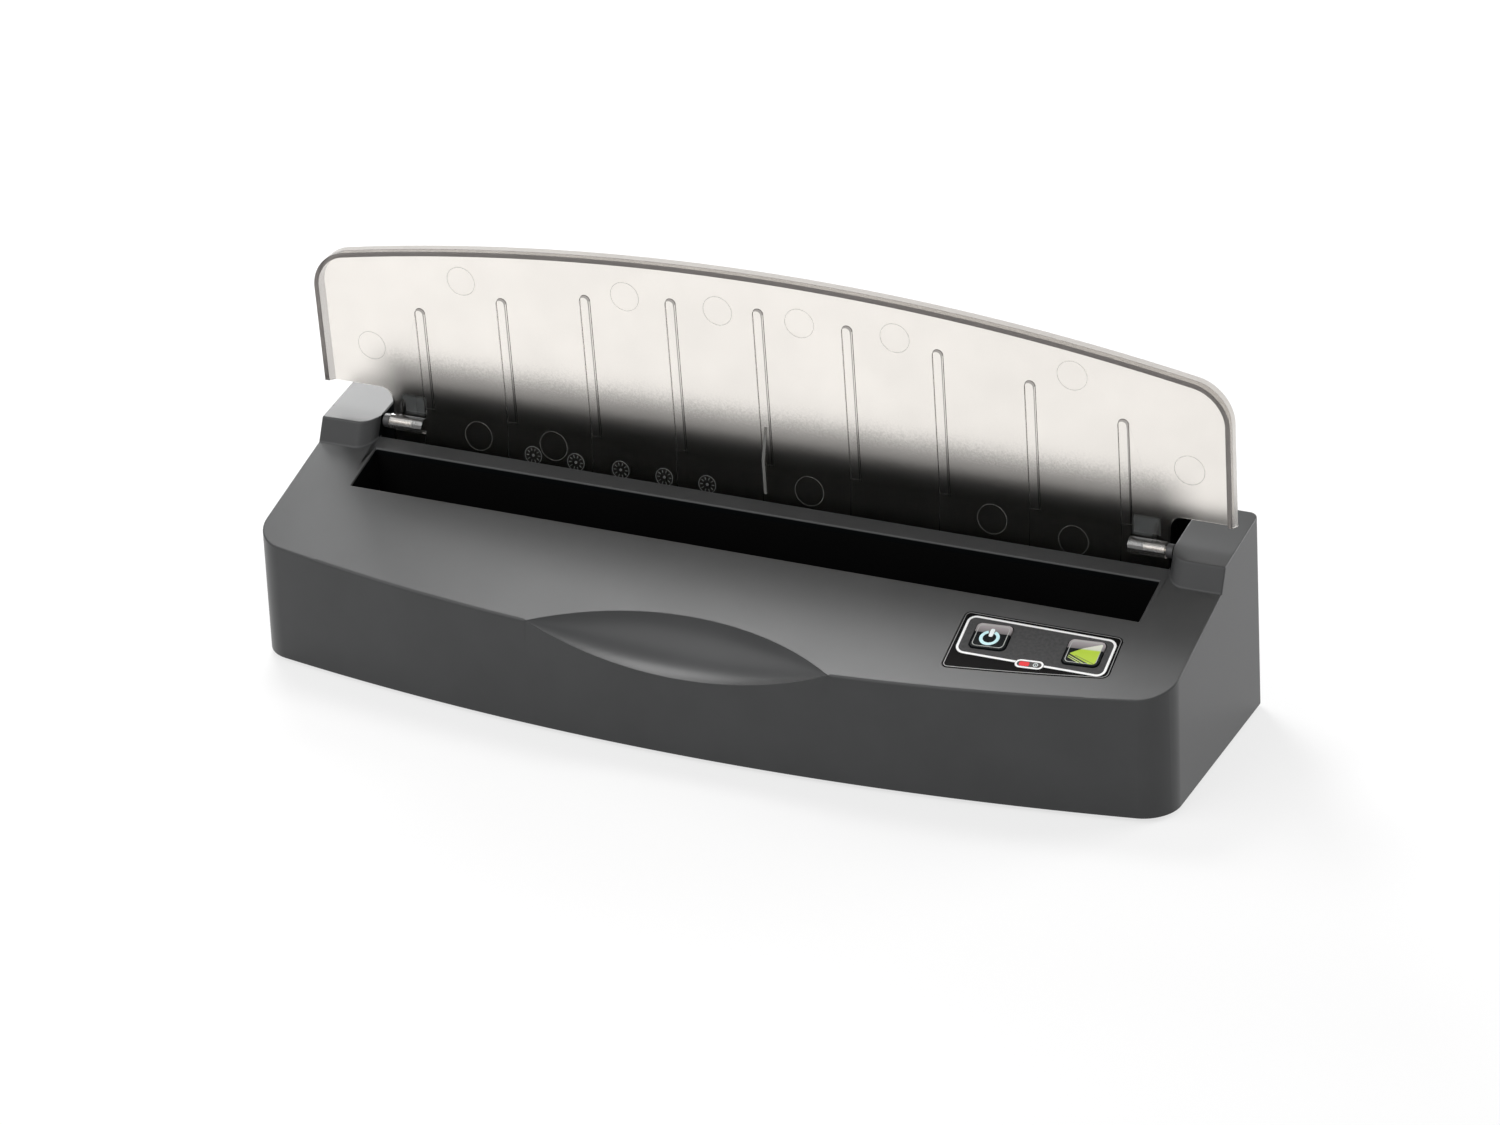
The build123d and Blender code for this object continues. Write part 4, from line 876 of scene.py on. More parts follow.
def panel_shape(g, p, grow, depth, height):
    """The key panel's outline as a closed sheet; its front edge follows the ridge."""
    shift = (p.margin + p.back) * math.tan(p.lean)
    left, right = p.left - grow, p.right + grow
    low = (g.ridge_y - g.slot_front) / math.cos(g.slope) + p.margin - grow
    high = -p.back + grow
    points = [(left + shift, low), (right + shift, low), (right, high), (left, high)]
    bm = prism(points, depth, radii=[max(p.corner + grow, 0.6)] * 4)
    divide_level(bm, low, 11)
    for vert in bm.verts:
        if (high - vert.co.y) / (high - low) > 0.8:
            vert.co.y += bow(vert.co.x, g.bow_radius) / math.cos(g.slope)
    return outward(move(bm, g.panel_frame @ at(0, 0, height)))


def lens_hole(g, p, gap, low, high):
    """A closed tool for the indicator's hole."""
    place = key_frame(g, p, p.lens_x, p.lens_back, low)
    return pill(p.lens_length + gap, p.lens_width + gap, high - low, place)


def key_holes(g, p, gap, low, high):
    """Closed tools for the holes of the keys and of the indicator, in one mesh."""
    wide, deep = p.key_width + 2 * gap, p.key_depth + 2 * gap
    shapes = [
        plate(wide, deep, high - low, key_frame(g, p, x, p.key_back, low), p.key_corner + gap)
        for x in (p.power_x, p.start_x)
    ]
    return gather([*shapes, lens_hole(g, p, gap, low, high)])


def inlet_place(back=0.0):
    """Frame of the mains inlet in the rear wall: x to the left, y up, z out."""
    low, high = frame_box("mains_inlet")
    turned = Matrix(((-1, 0, 0, 0), (0, 0, 1, 0), (0, 1, 0, 0), (0, 0, 0, 1)))
    return at((low.x + high.x) / 2, high.y + back, (low.z + high.z) / 2) @ turned


def casing_edge(g, p, middle):
    """Radius of the casing's edge that has its middle at a point."""
    local = g.panel_frame.inverted() @ middle
    ridge = g.ridge_y + bow(middle.x, g.bow_radius)
    under_blocks = middle.z < g.ridge_z + 6
    if middle.z < g.bottom + CLOSE:  # lower rim
        return 0.35
    if p.left - 1 < local.x < p.right + 3 and -50 < local.y < 0.4 - p.back:  # panel's bed
        if middle.y > ridge + 3:
            return 0.12 if local.z > -CLOSE else 0.0
    if abs(middle.x) < g.scoop_half + 1 and middle.y < g.ridge_y + 19 and under_blocks:  # scoop
        return g.crisp_edge
    if middle.y > g.rear - 2 and middle.z < 30:  # inlet's hole
        return 0.3
    if middle.y > g.slot_front - 2 and abs(middle.z - (g.slot_z - WELL_MOUTH)) < 1:  # slot's foot
        return 0.0
    on_slope = abs(middle.z - slope_z(g, middle.y)) < 0.6
    if middle.y < g.ridge_y + 12 and under_blocks and on_slope:  # front ridge
        return g.ridge_edge
    if abs(middle.y - g.hinge.y) < 3 and abs(middle.z - g.hinge.z) < 3:  # pins' holes
        return 0.0
    return g.edge


def casing_shape(g, p):
    """The whole upper housing as one closed shell."""
    bm = casing_block(g, 0)
    combine(bm, over_casing(g, 0))
    combine(bm, over_slope(g, 0, g.trough_rear))
    round_block_corners(g, bm)
    wide, well = g.block_inner, g.slot_z - WELL_MOUTH
    combine(bm, block((-wide, g.trough_front, g.floor), (wide, g.trough_rear, FAR)))
    combine(bm, scoop_tool(g))
    combine(bm, block((-g.slot_end, g.slot_front, well), (g.slot_end, g.slot_back, FAR)))
    combine(bm, panel_shape(g, p, 0.1, p.thickness + 6, -p.thickness))
    combine(bm, key_holes(g, p, KEY_GAP, -5, 3))
    socket = INLET_WIDE + INLET_GAP, INLET_HIGH + INLET_GAP
    combine(bm, plate(*socket, 12, inlet_place(-8), INLET_CORNER))
    axis, ends = at(0, g.hinge.y, g.hinge.z), (wide - 0.5, wide + PIN_HOLE_DEPTH)
    combine(bm, gather([side_rod(axis, side, *ends, PIN_HOLE, 24) for side in (1, -1)]))

    inlet, aside = inlet_place().translation, g.scoop_half + 3
    for x in (0, -150, 150, p.lens_x, inlet.x, -aside, aside):
        split(bm, 0, x)
    for y in ((g.slot_front + g.slot_back) / 2, g.hinge.y, g.ridge_y + 22):
        split(bm, 1, y)
    for z in (g.ridge_z - 15, inlet.z):
        split(bm, 2, z)
    soften(bm, lambda middle: casing_edge(g, p, middle))

    inner = casing_block(g, g.wall)
    combine(inner, over_casing(g, g.wall))
    combine(inner, over_slope(g, g.wall, g.rear + 5))
    wide, front, low = wide + g.wall, g.trough_front - g.wall, g.floor - g.wall
    combine(inner, block((-wide, front, low), (wide, FAR, FAR)))
    combine(inner, scoop_tool(g, g.wall, 24, 48))
    lower = [vert for vert in inner.verts if vert.co.z < g.bottom + CLOSE]
    bmesh.ops.translate(inner, verts=lower, vec=(0, 0, -1))
    return combine(bm, inner, flatten=False)


def in_painted_shade(g, face):
    """Whether a face of the casing lies inside the slot or the hinge trough, where painted shade
    darkens it.
    """
    centre = face.calc_center_median()
    x, y, z = abs(centre.x), centre.y, centre.z
    if x < g.slot_end + 0.5 and g.slot_front - 0.3 < y < g.slot_back + 0.3:
        return z < slope_z(g, y) - 0.7
    if x < g.block_inner + 0.3 and g.trough_front - 0.3 < y < g.trough_rear + 0.3:
        return (z < top_z(g, y) - 0.7 and face.normal.z < 0.99) or z < g.floor + 1
    return False


class BINDER_OT_casing(bpy.types.Operator):
    """Mould the upper housing with its slot, trough, hinge blocks and finger scoop"""

    bl_idname = "binder.casing"
    bl_label = "Upper housing"

    def execute(self, context):
        g = layout(context.scene)
        finish = context.scene.binder_finish
        satin = moulded(
            "casing_charcoal", finish.casing, finish.casing_rough, 2600.0, 0.3, 0.09, specular=0.35
        )
        # Painted shade: faces inside the slot and the trough get a near-black, almost unshiny
        # material.
        shade_black = moulded("casing_pocket_shade", finish.pocket_shade, 0.8, specular=0.02)
        bm = casing_shape(g, millimetres(context.scene.binder_panel))
        for face in bm.faces:
            face.material_index = int(in_painted_shade(g, face))
        complete("casing", bm, "machine", [satin, shade_black], ["upper_housing"])
        return {"FINISHED"}


# ------------------------------------------------------------------ lid
FROSTED, POLISHED, RIM_END, RIM_SIDE, RIB_SIDE, WINDOW = range(6)
WINDOW_ACROSS, WINDOW_UP = (140, 150), (3.4, 10.4)  # clear patches over the barrels, in mm
FIN_TOP, FIN_BEND, FIN_FOOT = 22.0, 10.5, -3.0  # the middle fin, up the lid, in mm
FIN_HIGH, FIN_WIDE = 2.0, 1.2  # the fin's edge before the axis, and its thickness, in mm
GUSSET_TOP, GUSSET_HIGH, GUSSET_WIDE, GUSSET_SETBACK = 9.0, 1.5, 1.5, 4.5  # in mm
TAIL_EDGE = 0.8  # radius of the tail's end, in mm
PIN_RADIUS, PIN_BORE = 1.25, 1.3  # the hinge pins, and what turns on them, in mm
PIN_INSIDE, PIN_OUTSIDE = 8.6, 11.4  # the pins reach this far to each side of the tail's end
SINK = 0.02  # how deep thin marks sit in the face that they lie on, in mm
EJECTOR_MARKS = (  # across the lid and up it, in mm
    (-160, 29.5), (162, 32), (-119.5, 62), (119.5, 62), (-52.8, 66), (52.8, 66), (-16, 66),
    (16, 66), (-118, -1), (118, -3), (-87, 0), (87, 0), (16, -1),
)
EJECTOR_RADIUS, EJECTOR_LINE, EJECTOR_RISE = 5.6, 0.24, 0.07  # in mm
DATE_RINGS, DATE_RINGS_UP = (-95.5, -78, -59.7, -42, -24.7), -5  # in mm
DATE_RADIUS, DATE_LINE, DATE_RISE = 3.4, 0.2, 0.12  # in mm
DATE_TICK, DATE_TICKS = (1.1, 0.26), 10  # size in mm, and how many
RIB_SHADE_LINE, RIB_SHADE_LINE_OUT = 0.26, 0.15  # width of the painted shade line at a rib's foot, and its offset, in mm


def lid_frame(g, lid):
    """Frame of the lid: x to the right, y up the plate, z to its inner side."""
    inner = Vector((0, -math.cos(lid.lean), math.sin(lid.lean)))
    right = Vector((1, 0, 0))
    turned = Matrix((right, inner.cross(right), inner)).transposed().to_4x4()
    return Matrix.Translation(g.hinge) @ turned


def across_lid(x):
    """In the lid's frame: local x up the plate, local y to its inner side, z right."""
    return at(x) @ SIDE


def lid_planes(lid):
    """Heights of the outer face, the inner face and the rim's end in the lid's frame."""
    return -lid.outer, lid.plate - lid.outer, lid.depth - lid.outer


def on_tail(lid, along, over):
    """A point of the tail's section, along the tail and over it."""
    sine, cosine = math.sin(lid.tail_bend), math.cos(lid.tail_bend)
    return (-along * cosine - over * sine, along * sine - over * cosine)


def kink(lid, face, over):
    """Where a face of the plate meets a face of the bent tail."""
    return (-(face * math.cos(lid.tail_bend) + over) / math.sin(lid.tail_bend), face)


def tail_length(g, lid):
    """Length of the tail, measured along it from the hinge axis."""
    return math.sqrt(lid.tail_reach**2 - g.block_rise**2)


def rib_places(lid):
    """Where the ribs stand across the lid."""
    return [(index - (lid.rib_count - 1) / 2) * lid.rib_pitch for index in range(lid.rib_count)]


def rib_top(lid, x):
    """How far up the lid a rib reaches."""
    return lid.rib_top - bow(x, lid.rib_bow)


def lid_sheet(g, lid, inset, low, high, foot):
    """The lid's outline as a closed block, between two heights over its plane."""
    side, top, corner = g.half - inset, lid.reach - inset, lid.corner - inset
    points = [(-side, foot), (side, foot), (side, top), (-side, top)]
    bm = prism(points, high - low, at(0, 0, low), [0, 0, corner, corner], 14)
    divide_level(bm, top, BOW_CUTS)
    for vert in bm.verts:
        if vert.co.y > top / 2:
            vert.co.y -= bow(vert.co.x, g.bow_radius) / math.cos(g.slope)
    return bm


def lid_notch(g, lid, side):
    """A closed tool for the lid's lower corner beside the tail."""
    outer, _, rim_end = lid_planes(lid)
    run = math.tan(lid.notch_lean)
    points = [
        (-lid.reach, outer - lid.plate),
        (lid.notch - run * lid.plate, outer - lid.plate),
        (lid.notch + 2 * run * lid.depth, rim_end + lid.depth),
        (-lid.reach, rim_end + lid.depth),
    ]
    tool = prism(points, g.half, across_lid(0))
    corner = edges_where(tool, lambda co: abs(co.x) < CLOSE and co.y > lid.notch - 3)
    bevel(tool, corner, lid.notch_corner, 8)
    move(tool, at(lid.tail_half))
    if side < 0:
        outward(move(tool, Matrix.Scale(-1, 4, (1, 0, 0))))
    return tool


def lid_tail(g, lid):
    """The bent tail that reaches down into the trough."""
    outer, inner, _ = lid_planes(lid)
    rise, end, top = g.block_rise, tail_length(g, lid), lid.notch + 4
    points = [
        (top, outer),
        kink(lid, outer, rise),
        on_tail(lid, end, rise),
        on_tail(lid, end, rise - lid.plate),
        kink(lid, inner, rise - lid.plate),
        (top, inner),
    ]
    radii = [0, 0, TAIL_EDGE, TAIL_EDGE, 0, 0]
    return prism(points, 2 * lid.tail_half, across_lid(-lid.tail_half), radii, 4)


def lid_rib(g, lid, x):
    """A low rib with a round top, which follows the bend of the tail."""
    inner = lid_planes(lid)[1]
    top, end, deep = rib_top(lid, x), tail_length(g, lid), lid.plate / 2
    over = g.block_rise - lid.plate - lid.rib_height
    points = [
        (top, inner - deep),
        (top, inner + lid.rib_height),
        kink(lid, inner + lid.rib_height, over),
        on_tail(lid, end - lid.rib_height, over),
        on_tail(lid, end - TAIL_EDGE, g.block_rise - deep),
        kink(lid, inner - deep, g.block_rise - deep),
    ]
    rib = prism(points, lid.rib_width, across_lid(x - lid.rib_width / 2))
    ends = [edge for edge in edges_at(rib, 1, top) if span(edge, 2) > CLOSE]
    bevel(rib, ends, lid.rib_width / 2 - 0.05, 8)
    return rib


def lid_braces(g, lid):
    """The middle fin, and a gusset over each hinge barrel."""
    inner, deep = lid_planes(lid)[1], lid.plate / 2
    root = kink(lid, inner - deep, g.block_rise - deep)
    fin = [
        (FIN_TOP, inner - deep),
        (FIN_TOP, inner),
        (FIN_BEND, FIN_HIGH),
        (FIN_FOOT, FIN_HIGH),
        on_tail(lid, 6, g.block_rise - lid.plate),
        root,
    ]
    gusset = [
        (GUSSET_TOP, inner - deep),
        (GUSSET_TOP, inner),
        (lid.barrel, GUSSET_HIGH),
        (0, GUSSET_HIGH),
        (0, inner / 2),
        root,
    ]
    shapes = [prism(fin, FIN_WIDE, across_lid(-FIN_WIDE / 2))]
    for side in (-1, 1):
        x = side * (lid.tail_half - GUSSET_SETBACK)
        shapes.append(prism(gusset, GUSSET_WIDE, across_lid(x - GUSSET_WIDE / 2)))
    return gather(shapes)


def lid_shape(g, lid):
    """The lid in its own frame: tray, notches, tail, ribs, barrels, fin and bores."""
    outer, inner, rim_end = lid_planes(lid)
    foot = kink(lid, outer, g.block_rise)[0]
    tray = lid_sheet(g, lid, 0, outer, rim_end, foot)
    at_foot = set(edges_at(tray, 1, foot))
    bevel(tray, [e for e in edges_at(tray, 2, outer) if e not in at_foot], lid.edge, 5)
    combine(tray, lid_sheet(g, lid, lid.rim, inner, rim_end + 3, -lid.notch))
    combine(tray, gather([lid_notch(g, lid, side) for side in (-1, 1)]))
    combine(tray, lid_tail(g, lid), "UNION")
    combine(tray, gather([lid_rib(g, lid, x) for x in rib_places(lid)]), "UNION")
    end, start = lid.tail_half, lid.tail_half - lid.barrel_length
    barrels = [side_rod(at(), side, start, end, lid.barrel) for side in (-1, 1)]
    combine(tray, gather(barrels), "UNION")
    combine(tray, lid_braces(g, lid), "UNION")
    ends = end - PIN_INSIDE - 0.3, end + 0.5
    return combine(tray, gather([side_rod(at(), side, *ends, PIN_BORE, 32) for side in (-1, 1)]))


def on_inner_face(g, lid, x, up):
    """A frame on the lid's inner face, which bends at the tail."""
    bend, inner = kink(lid, lid_planes(lid)[1], g.block_rise - lid.plate)
    if up > bend:
        return at(x, up, inner - SINK)
    return at(x, bend, inner) @ Matrix.Rotation(-lid.tail_bend, 4, "X") @ at(0, up - bend, -SINK)


def rib_shade_line(g, lid, x):
    """A thin dark ring of painted shade where a rib's rounded foot meets the lid's inner face."""
    low, inner = kink(lid, lid_planes(lid)[1], g.block_rise - lid.plate)
    low, top = low + 0.5, rib_top(lid, x) + RIB_SHADE_LINE_OUT
    side = lid.rib_width / 2 + RIB_SHADE_LINE_OUT
    points = [(x - side, low), (x + side, low), (x + side, top), (x - side, top)]
    radii = [0, 0, side - CLOSE, side - CLOSE]
    return ring(points, radii, RIB_SHADE_LINE, 0.07, at(0, 0, inner - SINK))


def fin_highlight_line(lid):
    """A thin tinted strip along the edge of the middle fin, a painted highlight on the edge; the
    lamps light it too.
    """
    inner = lid_planes(lid)[1]
    points = [
        (FIN_TOP, inner - 0.15),
        (FIN_TOP + 0.1, inner + 0.2),
        (FIN_BEND + 0.05, FIN_HIGH + 0.2),
        (FIN_FOOT, FIN_HIGH + 0.2),
        (FIN_FOOT, FIN_HIGH - 0.1),
        (FIN_BEND - 0.1, FIN_HIGH - 0.1),
    ]
    return prism(points, FIN_WIDE - 0.1, across_lid(0.05 - FIN_WIDE / 2))


def date_wheel(place):
    """A small raised ring with ticks inside it."""
    shapes = [hoop(DATE_RADIUS, DATE_LINE, DATE_RISE, 32)]
    for index in range(DATE_TICKS):
        turned = Matrix.Rotation(math.tau * index / DATE_TICKS, 4, "Z")
        shapes.append(plate(*DATE_TICK, DATE_RISE, turned @ at(DATE_RADIUS - DATE_TICK[0]), 0.1, 2))
    shapes.append(rod(DATE_TICK[0] / 2, DATE_RISE, at(), 16))
    return move(gather(shapes), place)


def lid_face_kind(g, lid, face):
    """Which of the lid's finishes a face has."""
    _, inner, rim_end = lid_planes(lid)
    centre, normal = face.calc_center_median(), face.normal
    across = abs(centre.x)
    top = lid.reach - bow(centre.x, g.bow_radius) / math.cos(g.slope)
    in_rim = across > g.half - lid.rim - 0.4 or centre.y > top - lid.rim - 0.4
    corner = Vector((across - (g.half - lid.corner), centre.y - (top - lid.corner)))
    if corner.x > 0 and corner.y > 0:
        in_rim = corner.length > lid.corner - lid.rim - 0.6
    if across > 139 and math.hypot(centre.y, centre.z) < lid.barrel + 0.1:
        return POLISHED
    if in_window(centre) and WINDOW_UP[0] < centre.y < WINDOW_UP[1] and abs(normal.z) > 0.9:
        return WINDOW
    if centre.z > rim_end - 0.3:
        return RIM_END
    if in_rim and (abs(normal.z) < 0.9 or centre.z > inner + 0.3):
        return RIM_SIDE
    # The ribs' sides get a dark tint, painted shade that outlines them.
    if abs(normal.z) < 0.93 and across < 170 and centre.y > -8:
        if inner - 0.2 < centre.z < inner + lid.rib_height + 0.1:
            return RIB_SIDE
    return FROSTED if normal.z < -0.2 else POLISHED


def in_window(centre):
    """Whether a place is as far out as the clear patches over the barrels."""
    return WINDOW_ACROSS[0] < abs(centre.x) < WINDOW_ACROSS[1]


def lid_edge(lid, middle):
    """Radius of the lid's edge that has its middle at a point."""
    _, inner, rim_end = lid_planes(lid)
    if middle.z < inner - 0.2 and middle.y > 8:
        return 0.0
    if middle.z > rim_end - CLOSE:
        return 0.25
    if abs(middle.z - inner - lid.rib_height) < 0.1 and abs(middle.x) < 150:
        return 0.35
    return 0.2 if abs(middle.z - inner) < 0.1 and middle.y > 14 else 0.1


def keep_lamps_off(scene, piece):
    """Leave a clear piece to the even room light, so that no lamp flares inside it."""
    group = bpy.data.collections.new("lit_by_room_only")
    group.objects.link(piece)
    for thing in scene.objects:
        if thing.type == "LIGHT":
            thing.light_linking.receiver_collection = group
    for kept_out in group.collection_objects:
        kept_out.light_linking.link_state = "EXCLUDE"


def fix_to_lid(g, lid, name, shapes, material):
    """Finish thin clear shapes, made in the lid's frame, as one piece that swings with it."""
    bm = move(gather(shapes), lid_frame(g, lid))
    complete(name, bm, "lid", [material])


class BINDER_OT_lid(bpy.types.Operator):
    """Mould the smoky lid with its rim, ribs, tail and hinge barrels"""

    bl_idname = "binder.lid"
    bl_label = "Lid"

    def execute(self, context):
        g = layout(context.scene)
        lid = millimetres(context.scene.binder_lid)
        finish = context.scene.binder_finish
        bm = lid_shape(g, lid)
        soften(bm, lambda middle: lid_edge(lid, middle), 2)
        low, high = WINDOW_ACROSS
        for x in (-high, -low, low, high):
            split(bm, 0, x)
        for up in WINDOW_UP:
            split(bm, 1, up, in_window)
        for face in bm.faces:
            face.material_index = lid_face_kind(g, lid, face)
        finishes = [
            # The frosted outer face carries painted shade that darkens it towards the hinge.
            smoky("lid_frosted_painted_shade", finish.lid, finish.lid_frost, 1900.0, 0.2, paint_shade=True),
            smoky("lid_polished", finish.lid, finish.lid_polish, 300.0, 0.04, clear=0.98),
            smoky("lid_rim_end", finish.lid_edge, 0.30, 500.0, 0.05, clear=0.35),
            smoky("lid_rim_side", finish.lid_rim, 0.16, 400.0, 0.05),
            # Painted shade: the ribs' sides are tinted dark to outline them.
            smoky("lid_rib_side_shade", finish.lid_line_shade, 0.12, 400.0, 0.05),
            smoky("lid_window", (0.60, 0.62, 0.62), 0.03, 200.0, 0.02, clear=0.86),
        ]
        move(bm, lid_frame(g, lid))
        piece = complete("lid_smoky", bm, "lid", finishes, ["lid"], sharp=30.0)
        keep_lamps_off(context.scene, piece)
        wheels = [date_wheel(on_inner_face(g, lid, x, DATE_RINGS_UP)) for x in DATE_RINGS]
        pale = smoky("lid_date_ring", (0.60, 0.60, 0.60), 0.3, 900.0, 0.1, clear=0.72)
        fix_to_lid(g, lid, "lid_date_rings", wheels, pale)
        circle = EJECTOR_RADIUS, EJECTOR_LINE, EJECTOR_RISE, 56
        marks = [hoop(*circle, on_inner_face(g, lid, x, up)) for x, up in EJECTOR_MARKS]
        faint = smoky("lid_mark_line", (0.74, 0.73, 0.72), 0.25, 900.0, 0.1, clear=0.93)
        fix_to_lid(g, lid, "lid_ejector_marks", marks, faint)
        # Painted shade: thin dark rings round the ribs' feet.
        feet = [rib_shade_line(g, lid, x) for x in rib_places(lid)]
        dark = smoky("lid_rib_foot_shade", (0.32, 0.31, 0.30), 0.2, 400.0, 0.05, clear=0.92)
        fix_to_lid(g, lid, "lid_rib_shade_lines", feet, dark)
        # Painted highlight along the fin's edge, on a strip that the lamps also light.
        fin_edge_highlight = smoky("lid_fin_edge_highlight", (0.40, 0.40, 0.39), 0.2, 300.0, 0.02, clear=0.6)
        fix_to_lid(g, lid, "lid_fin_highlight_line", [fin_highlight_line(lid)], fin_edge_highlight)
        return {"FINISHED"}


# ------------------------------------------------------------------ key panel
LINE_CORNERS = ((97.4, -29.3), (153.0, -29.1), (151.8, -10.8), (96.1, -10.5))  # in mm
PRINT = 0.04  # thickness of the print, in mm
LINE_CORNER, FIELD_CORNER = 3.4, 3.0  # radii of the printed line and of the field in it, in mm
CAP_DEPTH, CAP_EDGE = 3.0, 0.35  # a key's cap under the sheet's face, and its rounding, in mm
FLANGE_BACK, FLANGE_THICK = 3.55, 1.0  # the flange that holds a key in, in mm
STEM_RADIUS, STEM_END = 2.0, 5.0  # the stem that works the switch, in mm
LENS_DEPTH, LENS_EDGE, LENS_FLANGE_BACK = 2.9, 0.15, 3.4  # the indicator, in mm


def shrunk(points, amount):
    """The corners of a four-sided outline, drawn in towards its middle."""
    middle = sum((Vector(point) for point in points), Vector((0, 0))) / len(points)
    return [
        (x - math.copysign(amount, x - middle.x), y - math.copysign(amount, y - middle.y))
        for x, y in points
    ]


class BINDER_OT_panel(bpy.types.Operator):
    """Lay the key panel's cover sheet with its printed line and textured field"""

    bl_idname = "binder.panel"
    bl_label = "Key panel"

    def execute(self, context):
        g = layout(context.scene)
        p = millimetres(context.scene.binder_panel)
        finish = context.scene.binder_finish
        sheet = panel_shape(g, p, 0, p.thickness, -p.thickness)
        combine(sheet, key_holes(g, p, KEY_GAP, -3, 3))
        for x in (p.power_x, p.lens_x, p.start_x):
            split(sheet, 0, x)
        inverse = g.panel_frame.inverted()
        soften(sheet, lambda middle: 0.1 if (inverse @ middle).z > -CLOSE else 0.0, 2)
        gloss = moulded("panel_gloss", finish.sheet, 0.3, 2400.0, 0.1, 0.1, specular=0.015)
        complete("panel_sheet", sheet, "machine", [gloss], ["panel_overlay"])

        # Painted highlight: a thin pale ring just inside the sheet's edge, where the edge catches
        # light.
        edge = panel_shape(g, p, -0.42, 0.03, 0.0)
        combine(edge, panel_shape(g, p, -0.68, 1.0, -0.5))
        pale = moulded("panel_edge_highlight", (0.20, 0.20, 0.20), 0.3, 2400.0, 0.04)
        complete("panel_rim_highlight", edge, "machine", [pale])

        outline = shrunk(LINE_CORNERS, p.line * 0.6)
        field = prism(outline, PRINT * 0.8, g.panel_frame, [FIELD_CORNER] * 4)
        combine(field, key_holes(g, p, 0.34, -1, 1))
        grey = moulded(
            "panel_field", finish.field, 0.5, 3400.0, 0.35, 0.16, 900.0, specular=0.1
        )
        complete("panel_field", field, "machine", [grey])

        line = ring(LINE_CORNERS, [LINE_CORNER] * 4, p.line, PRINT, g.panel_frame)
        combine(line, lens_hole(g, p, KEY_GAP, -1, 1))
        round_lens = ring(
            corners(p.lens_length, p.lens_width), [p.lens_width / 2 - CLOSE] * 4, 0.7, PRINT * 1.5,
            key_frame(g, p, p.lens_x, p.lens_back, 0.01), 10,
        )
        white = moulded("print_white", finish.line, 0.35, 1800.0, 0.04, 0.02)
        complete("panel_line", gather([line, round_lens]), "machine", [white])
        return {"FINISHED"}


def key_shape(p):
    """A key in its own frame: cap, retaining flange and stem."""
    wide, deep, corner = p.key_width, p.key_depth, p.key_corner
    cap = plate(wide, deep, p.key_rise + CAP_DEPTH, at(0, 0, -CAP_DEPTH), corner)
    bevel(cap, edges_at(cap, 2, p.key_rise), CAP_EDGE, 4)
    place = at(0, 0, -FLANGE_BACK)
    combine(cap, plate(wide + 2, deep + 2, FLANGE_THICK, place, corner + 1), "UNION")
    return combine(cap, rod(STEM_RADIUS, 2.0, at(0, 0, -STEM_END), 32), "UNION")


def add_face_map(bm, wide, deep):
    """A flat map of a key's face, from its front left to its back right corner."""
    layer = bm.loops.layers.uv.new("face_map")
    for face in bm.faces:
        for loop in face.loops:
            loop[layer].uv = (loop.vert.co.x / wide + 0.5, loop.vert.co.y / deep + 0.5)


